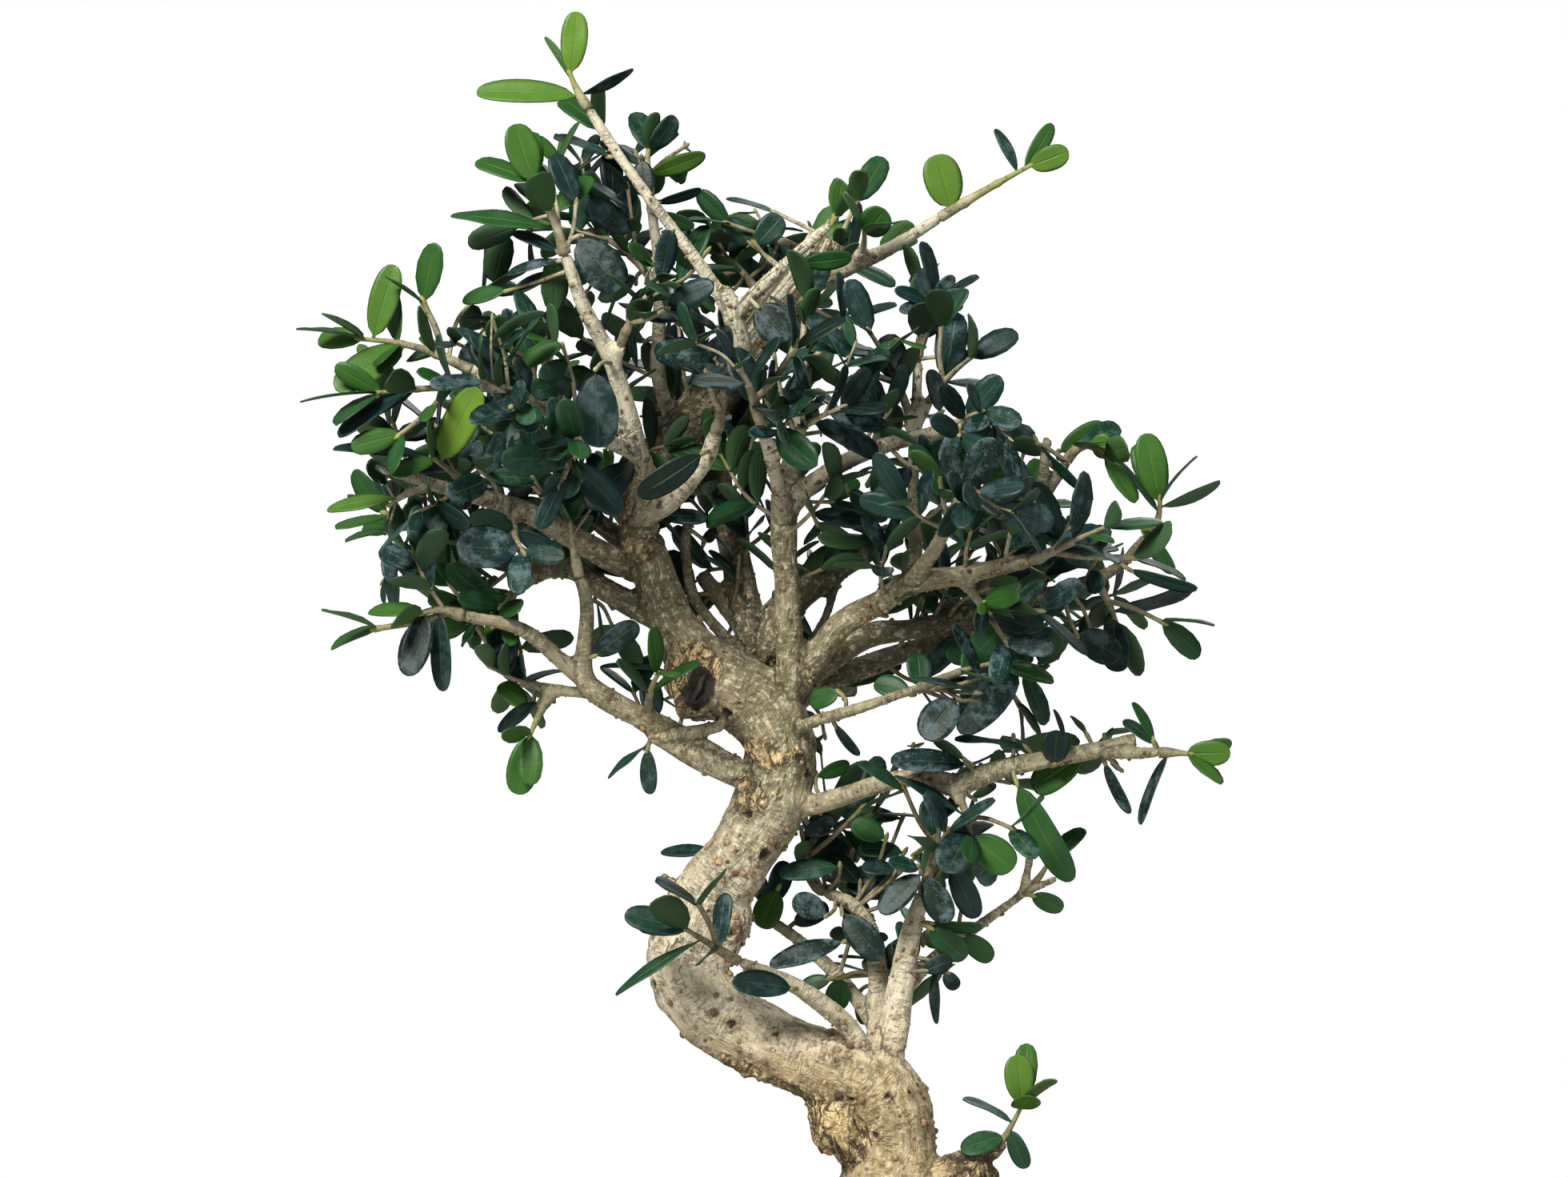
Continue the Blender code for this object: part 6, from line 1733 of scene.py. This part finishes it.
def makeBarkMaterial():
    surface, shader, place = startMaterial("olive bark")
    cork, wart, scarAndShade = painted(place, "bark")
    twiggy = place.node("Attribute", {"attribute_name": "bark"}, out=3)
    grain = place.node("Attribute", {"attribute_name": "grain"}, out=1)
    side, depth, height = split(place, "SeparateXYZ")
    smooth = 1 - step(twiggy, 0.3, 1.0) * 0.65
    fibres = grains(stretched(grain, (1, 1, 0.2)), 1300, 3, 0.6, 0.6)
    wavy = grains(stretched(grain, (1, 1, 0.24)), 760, 4, 0.65, 1.4)
    broad = grains(stretched(grain, (1, 1, 0.3)), 170, 4, 0.6, 0.3)
    patches = grains(place, 60, 4, 0.6)
    clouds = grains(place, 130, 3, 0.55)
    mottle = grains(place, 520, 5, 0.7)
    upper = step(height, 0.13, 0.22)
    # painted shade inside the crown: bark between about 0.21 and 0.31 m up, less on thin limbs
    paintedCrownShade = step(height, 0.205, 0.235) * step(height, 0.31, 0.27) * (0.4 + smooth * 0.6)
    across = grains(stretched(grain, (0.45, 0.45, 1.6)), 620, 3, 0.6, 1.2)
    ripples = step(across, 0.48, 0.62) * step(clouds, 0.6, 0.4)
    strings = grains(stretched(grain, (1, 1, 0.06)), 620, 3, 0.6, 0.5)
    torn = step(depth, 0.0, 0.008) * step(height, 0.285, 0.3) * (1 - step(twiggy, 0.3, 0.7))
    tint = blend(step(height, 0.15, 0.12), barkColours["cream"], barkColours["warm"])
    tint = coats(tint, [
        (upper, "tan"),
        (step(clouds, 0.45, 0.7) * 0.5, "rose"),
        (step(patches, 0.42, 0.62) * (0.25 + upper * 0.5), "olive"),
        (step(twiggy, 0.3, 1.0) * 0.7, "grey"),
        (step(twiggy, 0.3, 0.75) * step(height, 0.25, 0.285) * 0.85, "young"),
        # painted shade on bark towards the back, from about 0.2 m up
        (step(depth, -0.006, 0.01) * step(height, 0.2, 0.235) * 0.68, "shade"),
        # painted shade inside the crown
        (paintedCrownShade * 0.3, "shade"),
        (step(broad, 0.52, 0.75) * 0.35, "fibre"),
        (step(wavy, 0.52, 0.66) * 0.4 * smooth, "fibre"),
        (step(wavy, 0.46, 0.34) * 0.45 * smooth, "pale"),
        (step(fibres, 0.55, 0.68) * 0.3, "fibre"),
        # pale flecks on the raised mottle: pale bark and painted highlights
        (step(mottle, 0.52, 0.66) * 0.5 * smooth, "pale"),
        (step(mottle, 0.46, 0.32) * 0.5 * smooth, "fibre"),
        (ripples * 0.42, "fibre"),
        (step(strings, 0.47, 0.56) * torn * 0.75, "fibre"),
        (step(strings, 0.45, 0.38) * torn * 0.7, "young"),
    ])
    crack = step(grains(stretched(grain, (1, 1, 0.3)), 330, 4, 0.75, 0.8), 0.6, 0.69)
    crack = crack * step(grains(place, 48, 3), 0.42, 0.56)
    dots = place.node("TexVoronoi", None, {"Vector": place, "Scale": 300, "Randomness": 1.0})
    lucky = split(Signal(place.tree, dots.socket.node.outputs[1]))[0]
    pits = step(dots, 0.24, 0.13) * step(lucky, 0.5, 0.6) * step(clouds, 0.42, 0.6) * step(twiggy, 0.9, 0.3)
    plates = place.node("TexVoronoi", {"feature": "DISTANCE_TO_EDGE"}, {"Vector": place, "Scale": 380})
    flakes = grains(stretched(place, (1, 1, 0.4)), 520, 4, 0.7, 0.8)
    swirls = grains(stretched(place, (1, 1, 0.55)), 130, 3, 0.55, 1.8)
    ridge = place.maths("ABSOLUTE", swirls - 0.5)
    corky = blend(step(flakes, 0.3, 0.56), barkColours["corkDark"], barkColours["cork"])
    corky = coats(corky, [
        (step(flakes, 0.56, 0.68) * 0.6, "pale"),
        (step(ridge, 0.07, 0.012) * 0.92, "corkDark"),
    ])
    rotten = step(side, 0.041, 0.049) * step(height, 0.118, 0.108) * cork
    tint = coats(blend(cork * 0.95, tint, corky), [
        (rotten * step(flakes, 0.62, 0.5) * 0.75, "corkDark"),
        (crack * 0.8, "corkDark"),
        (pits * 0.7, "wartDark"),
        (step(wart, 0.05, 0.6) * 0.62, "wartDark"),
        # the knot's hollow and the wounds: dark wood with painted shade
        (step(scarAndShade, 0.2, 0.75) * 0.94, "scarAndShade"),
    ])
    cover = broad * 0.7 + wavy * 0.6 * smooth + fibres * 0.3 - crack * 0.9 - pits * 0.3 + strings * torn * 2
    cover = cover + mottle * 0.8 * smooth - ripples * 0.45
    relief = bump(cover + cork * (flakes * 1.4 + ridge * 14 + step(plates, 0.0, 0.15) * 0.4), mm, 1.0)
    feed(shader, base=tint, rough=0.72 + mottle * 0.2, normal=relief)
    return surface


def makeWood():
    skin, paths = woodForm()
    grain, marks, radii = carveBark(skin, paths)
    makeWarts(skin, marks, radii)
    skin.attributes.new("grain", "FLOAT_VECTOR", "POINT").data.foreach_set("vector", grain.ravel())
    skin.attributes.new("bark", "FLOAT_COLOR", "POINT").data.foreach_set("color", marks.ravel())
    skin.polygons.foreach_set("use_smooth", [True] * len(skin.polygons))
    skin.materials.clear()
    skin.materials.append(makeBarkMaterial())
    skin.name = "tree_wood"
    tree = addObject("tree_wood", skin)
    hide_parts("wood")
    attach(tree, "root")
    return tree


treeWood = makeWood()
print("wood made:", len(treeWood.data.polygons), "faces")

# Pot

pot = {
    "length": 212 * mm,
    "depth": 150 * mm,
    "height": 58 * mm,
    "corner": 30 * mm,
    "wall": 7 * mm,
    "floor": 7 * mm,
    "flare": 11 * mm,
    "lipHeight": 8 * mm,
    "lipDepth": 3 * mm,
    "cornerSteps": 12,
    "footHeight": 6 * mm,
    "footSize": (38 * mm, 22 * mm),
    "footPlace": (60 * mm, 38 * mm),
    "footCorner": 6 * mm,
    "edge": 1 * mm,
    "drainRadius": 8 * mm,
    "drainPlace": 48 * mm,
    "soilBelowRim": 6 * mm,
}
potInset = pot["lipDepth"] + pot["flare"]
potFloorTop = pot["footHeight"] + pot["floor"]


def potRing(bm, inset, height):
    # a rounded rectangle, drawn in by inset
    corner = max(pot["corner"] - inset, 4 * mm)
    reachX = pot["length"] / 2 - inset - corner
    reachY = pot["depth"] / 2 - inset - corner
    steps = pot["cornerSteps"]
    ring = bmesh.ops.create_circle(bm, segments=4 * (steps + 1), radius=corner)["verts"]
    for index, vert in enumerate(ring):
        quarter, part = divmod(index, steps + 1)
        angle = (quarter + part / steps) * math.pi / 2
        sideX = 1 if quarter in (0, 3) else -1
        sideY = 1 if quarter in (0, 1) else -1
        vert.co = (sideX * reachX + corner * math.cos(angle),
                   sideY * reachY + corner * math.sin(angle), height)
    return ring


def ringEdges(ring):
    inside = set(ring)
    return [edge for edge in dict.fromkeys(edge for vert in ring for edge in vert.link_edges)
            if edge.verts[0] in inside and edge.verts[1] in inside]


def innerInset(height):
    share = (height - potFloorTop) / (pot["height"] - potFloorTop)
    return pot["wall"] + potInset * (1 - share)


def potProfile():
    # inset and height of the rings, from under the wall, up the outside, over the rim and down inside
    foot, edge, top = pot["footHeight"], pot["edge"], pot["height"]
    wallFoot, lipFoot = foot + 2 * edge, top - pot["lipHeight"]
    rings = [(potInset + 2.4 * edge, foot), (potInset + 1.1 * edge, foot + 0.25 * edge),
             (potInset + 0.3 * edge, foot + 0.9 * edge), (potInset, wallFoot)]
    for t in (0.2, 0.4, 0.6, 0.8):
        rings.append((pot["lipDepth"] + pot["flare"] * (1 - t) ** 1.35, wallFoot + (lipFoot - wallFoot) * t))
    rings += [(pot["lipDepth"], lipFoot), (pot["lipDepth"] * 0.5, lipFoot + 0.1 * edge),
              (0.35 * edge, lipFoot + 0.5 * edge), (0, lipFoot + 1.4 * edge),
              (0, top - 1.6 * edge), (0.3 * edge, top - 0.6 * edge), (edge, top - 0.1 * edge),
              (2 * edge, top), (pot["wall"] - 2 * edge, top),
              (pot["wall"] - 0.9 * edge, top - 0.15 * edge)]
    return rings + [(innerInset(height), height) for height in (top - edge, 0.05, 0.035, 0.02, potFloorTop)]


def makePot():
    bm = bmesh.new()
    rings = [potRing(bm, inset, height) for inset, height in potProfile()]
    for ring, following in zip(rings, rings[1:]):
        bmesh.ops.bridge_loops(bm, edges=ringEdges(ring) + ringEdges(following))
    for ring in (rings[0], rings[-1]):
        bmesh.ops.contextual_create(bm, geom=ringEdges(ring))
    bmesh.ops.recalc_face_normals(bm, faces=bm.faces)
    for sideX in (-1, 1):
        for sideY in (-1, 1):
            foot = bmesh.ops.create_cube(bm, size=1)["verts"]
            size = (*pot["footSize"], pot["footHeight"] + 2 * mm)
            bmesh.ops.scale(bm, vec=size, verts=foot)
            centre = (sideX * pot["footPlace"][0], sideY * pot["footPlace"][1], size[2] / 2)
            bmesh.ops.translate(bm, vec=centre, verts=foot)
            upright = [edge for edge in ringEdges(foot) if abs(edge.verts[0].co.z - edge.verts[1].co.z) > mm]
            bmesh.ops.bevel(bm, geom=upright, offset=pot["footCorner"], segments=6, profile=0.5,
                            affect="EDGES", material=-1)
            bmesh.ops.remove_doubles(bm, verts=bm.verts, dist=0.001 * mm)
    body = finishPiece("pot_body", bm, [])
    cutter = bmesh.new()
    for side in (-1, 1):
        place = Matrix.Translation((side * pot["drainPlace"], 0, potFloorTop - pot["floor"] / 2))
        bmesh.ops.create_cone(cutter, cap_ends=True, segments=48, radius1=pot["drainRadius"],
                              radius2=pot["drainRadius"], depth=3 * pot["floor"], matrix=place)
    drains = finishPiece("drains", cutter, [])
    hole = body.modifiers.new("drains", "BOOLEAN")
    hole.operation = "DIFFERENCE"
    hole.solver = "EXACT"
    hole.use_self = True
    hole.object = drains
    rounding = body.modifiers.new("edges", "BEVEL")
    rounding.width = 0.5 * mm
    rounding.segments = 2
    rounding.limit_method = "ANGLE"
    rounding.angle_limit = math.radians(50)
    mesh = applied(body)
    bpy.data.objects.remove(drains)
    mesh.set_sharp_from_angle(angle=math.radians(40))
    mesh.name = "pot_fired"
    mesh.materials.clear()
    mesh.materials.append(makeClayMaterial())
    piece = addObject("pot_fired", mesh)
    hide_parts("pot")
    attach(piece, "root")
    return piece


def makeClayMaterial():
    surface, shader, place = startMaterial("unglazed clay")
    height = split(place, "SeparateXYZ")[2]
    clouds = grains(place, 22, 5, 0.6)
    sand = grains(place, 1400, 2, 0.7)
    grit = place.node("TexVoronoi", None, {"Vector": place, "Scale": 620})
    drag = grains(stretched(place, (0.12, 0.12, 1)), 420, 4, 0.6)
    tint = blend(step(clouds, 0.3, 0.7), colour(92, 58, 42), colour(122, 80, 58))
    tint = blend(step(sand, 0.56, 0.7) * 0.5, tint, colour(150, 112, 84))
    tint = blend(step(grit, 0.14, 0.06) * 0.6, tint, colour(58, 38, 30))
    lime = step(grains(place, 70, 5, 0.65), 0.5, 0.72) * step(height, 0.016, 0.007)
    # a painted sheen: the top of the rim is made paler in patches; lime deposits low on the pot share the
    # pale colour
    edge = step(height, pot["height"] - 3 * mm, pot["height"] - 0.4 * mm) * step(clouds, 0.4, 0.65)
    tint = blend(lime * 0.5 + edge * 0.3, tint, colour(178, 156, 134))
    relief = bump(sand * 0.5 + drag * 0.8 + grit * 0.5, 0.35 * mm, 0.7)
    feed(shader, base=tint, rough=0.72 + sand * 0.15, normal=relief)
    return surface


makePot()
print("pot made")

# Soil: the solid, under a layer of loose granules

soil = {
    "granules": 3400,
    "sizes": (1.1 * mm, 2.1 * mm),
    "unevenness": 0.22,
    "lowest": 45 * mm,
    "edgeGap": 1.6 * mm,
}


def makeSoilMaterial():
    surface, shader, place = startMaterial("soil")
    crumbs = grains(place, 420, 5, 0.65)
    tint = blend(step(crumbs, 0.35, 0.65), colour(54, 40, 30), colour(96, 72, 50))
    feed(shader, base=tint, rough=0.85 + crumbs * 0.1, normal=bump(crumbs, 1 * mm, 0.9))
    return surface


def makeGranuleMaterial():
    surface, shader, place = startMaterial("clay granules")
    kind = painted(place, "leaf")[0]
    pores = grains(place, 1300, 4, 0.7)
    tint = place.node("ValToRGB", {"stops": [
        (0.0, colour(112, 76, 46)), (0.45, colour(142, 100, 62)), (0.62, colour(96, 70, 50)),
        (0.8, colour(70, 60, 54)), (1.0, colour(172, 160, 140))]}, {0: kind})
    tint = blend(step(pores, 0.55, 0.75) * 0.5, tint, colour(64, 46, 32))
    feed(shader, base=tint, rough=0.85 + pores * 0.1, normal=bump(pores, 0.5 * mm, 0.8))
    return surface


def makeSoil():
    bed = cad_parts["soil"]
    bed.data.materials.clear()
    bed.data.materials.append(makeSoilMaterial())
    bark = BVHTree.FromObject(treeWood, bpy.context.evaluated_depsgraph_get())
    draw = random.Random("granules")
    down = Vector((0, 0, -1))
    edge = innerInset(pot["height"] - pot["soilBelowRim"]) + soil["edgeGap"]
    reachX, reachY = pot["length"] / 2 - edge, pot["depth"] / 2 - edge
    corner = pot["corner"] - edge
    lumps = []
    for _ in range(soil["granules"]):
        x, y = draw.uniform(-reachX, reachX), draw.uniform(-reachY, reachY)
        overX, overY = max(0, abs(x) - reachX + corner), max(0, abs(y) - reachY + corner)
        if math.hypot(overX, overY) > corner:
            continue
        hit = soilSurface.ray_cast(Vector((x, y, 0.2)), down)[0]
        if hit is None or hit.z < soil["lowest"]:
            continue
        above = bark.ray_cast(Vector((x, y, 0.075)), down)[0]
        if above is not None and above.z > hit.z - 0.5 * mm:
            continue
        size = draw.uniform(*soil["sizes"])
        turn = Quaternion(Vector((draw.gauss(0, 1), draw.gauss(0, 1), 0.1)).normalized(), draw.uniform(0, 6))
        scale = Vector([size * draw.uniform(0.75, 1.2) for _ in range(3)])
        centre = hit + Vector((0, 0, size * draw.uniform(-0.1, 0.45)))
        lumps.append((Matrix.LocRotScale(centre, turn, scale), soil["unevenness"], (draw.random(), 0, 0, 1)))
    piece = makeLumps("soil_granules", lumps, [makeGranuleMaterial()], draw)
    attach(piece, "root")


makeSoil()


def makeDrainMaterial():
    surface, shader, place = startMaterial("drain mesh plastic")
    wear = grains(place, 500, 3)
    tint = blend(step(wear, 0.4, 0.7), colour(24, 26, 25), colour(44, 46, 44))
    feed(shader, base=tint, rough=0.4 + wear * 0.25, normal=bump(wear, 0.1 * mm, 0.5))
    return surface


drainMaterial = makeDrainMaterial()
for name in ("drain_mesh_left", "drain_mesh_right"):
    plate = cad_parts[name]
    plate.data.materials.clear()
    plate.data.materials.append(drainMaterial)
print("soil laid")


def makeFloor():
    bm = bmesh.new()
    bmesh.ops.create_circle(bm, cap_ends=True, segments=96, radius=studio["floorRadius"])
    surface, shader, place = startMaterial("floor")
    shader.inputs["Base Color"].default_value = (0.82, 0.82, 0.82, 1)
    shader.inputs["Roughness"].default_value = 0.8
    away = place.node("VectorMath", {"operation": "LENGTH"}, {0: place}, out=1)
    feed(shader, alpha=step(away, studio["floorRadius"], studio["floorFade"] * studio["floorRadius"]))
    floor = finishPiece("floor", bm, [surface])


makeFloor()
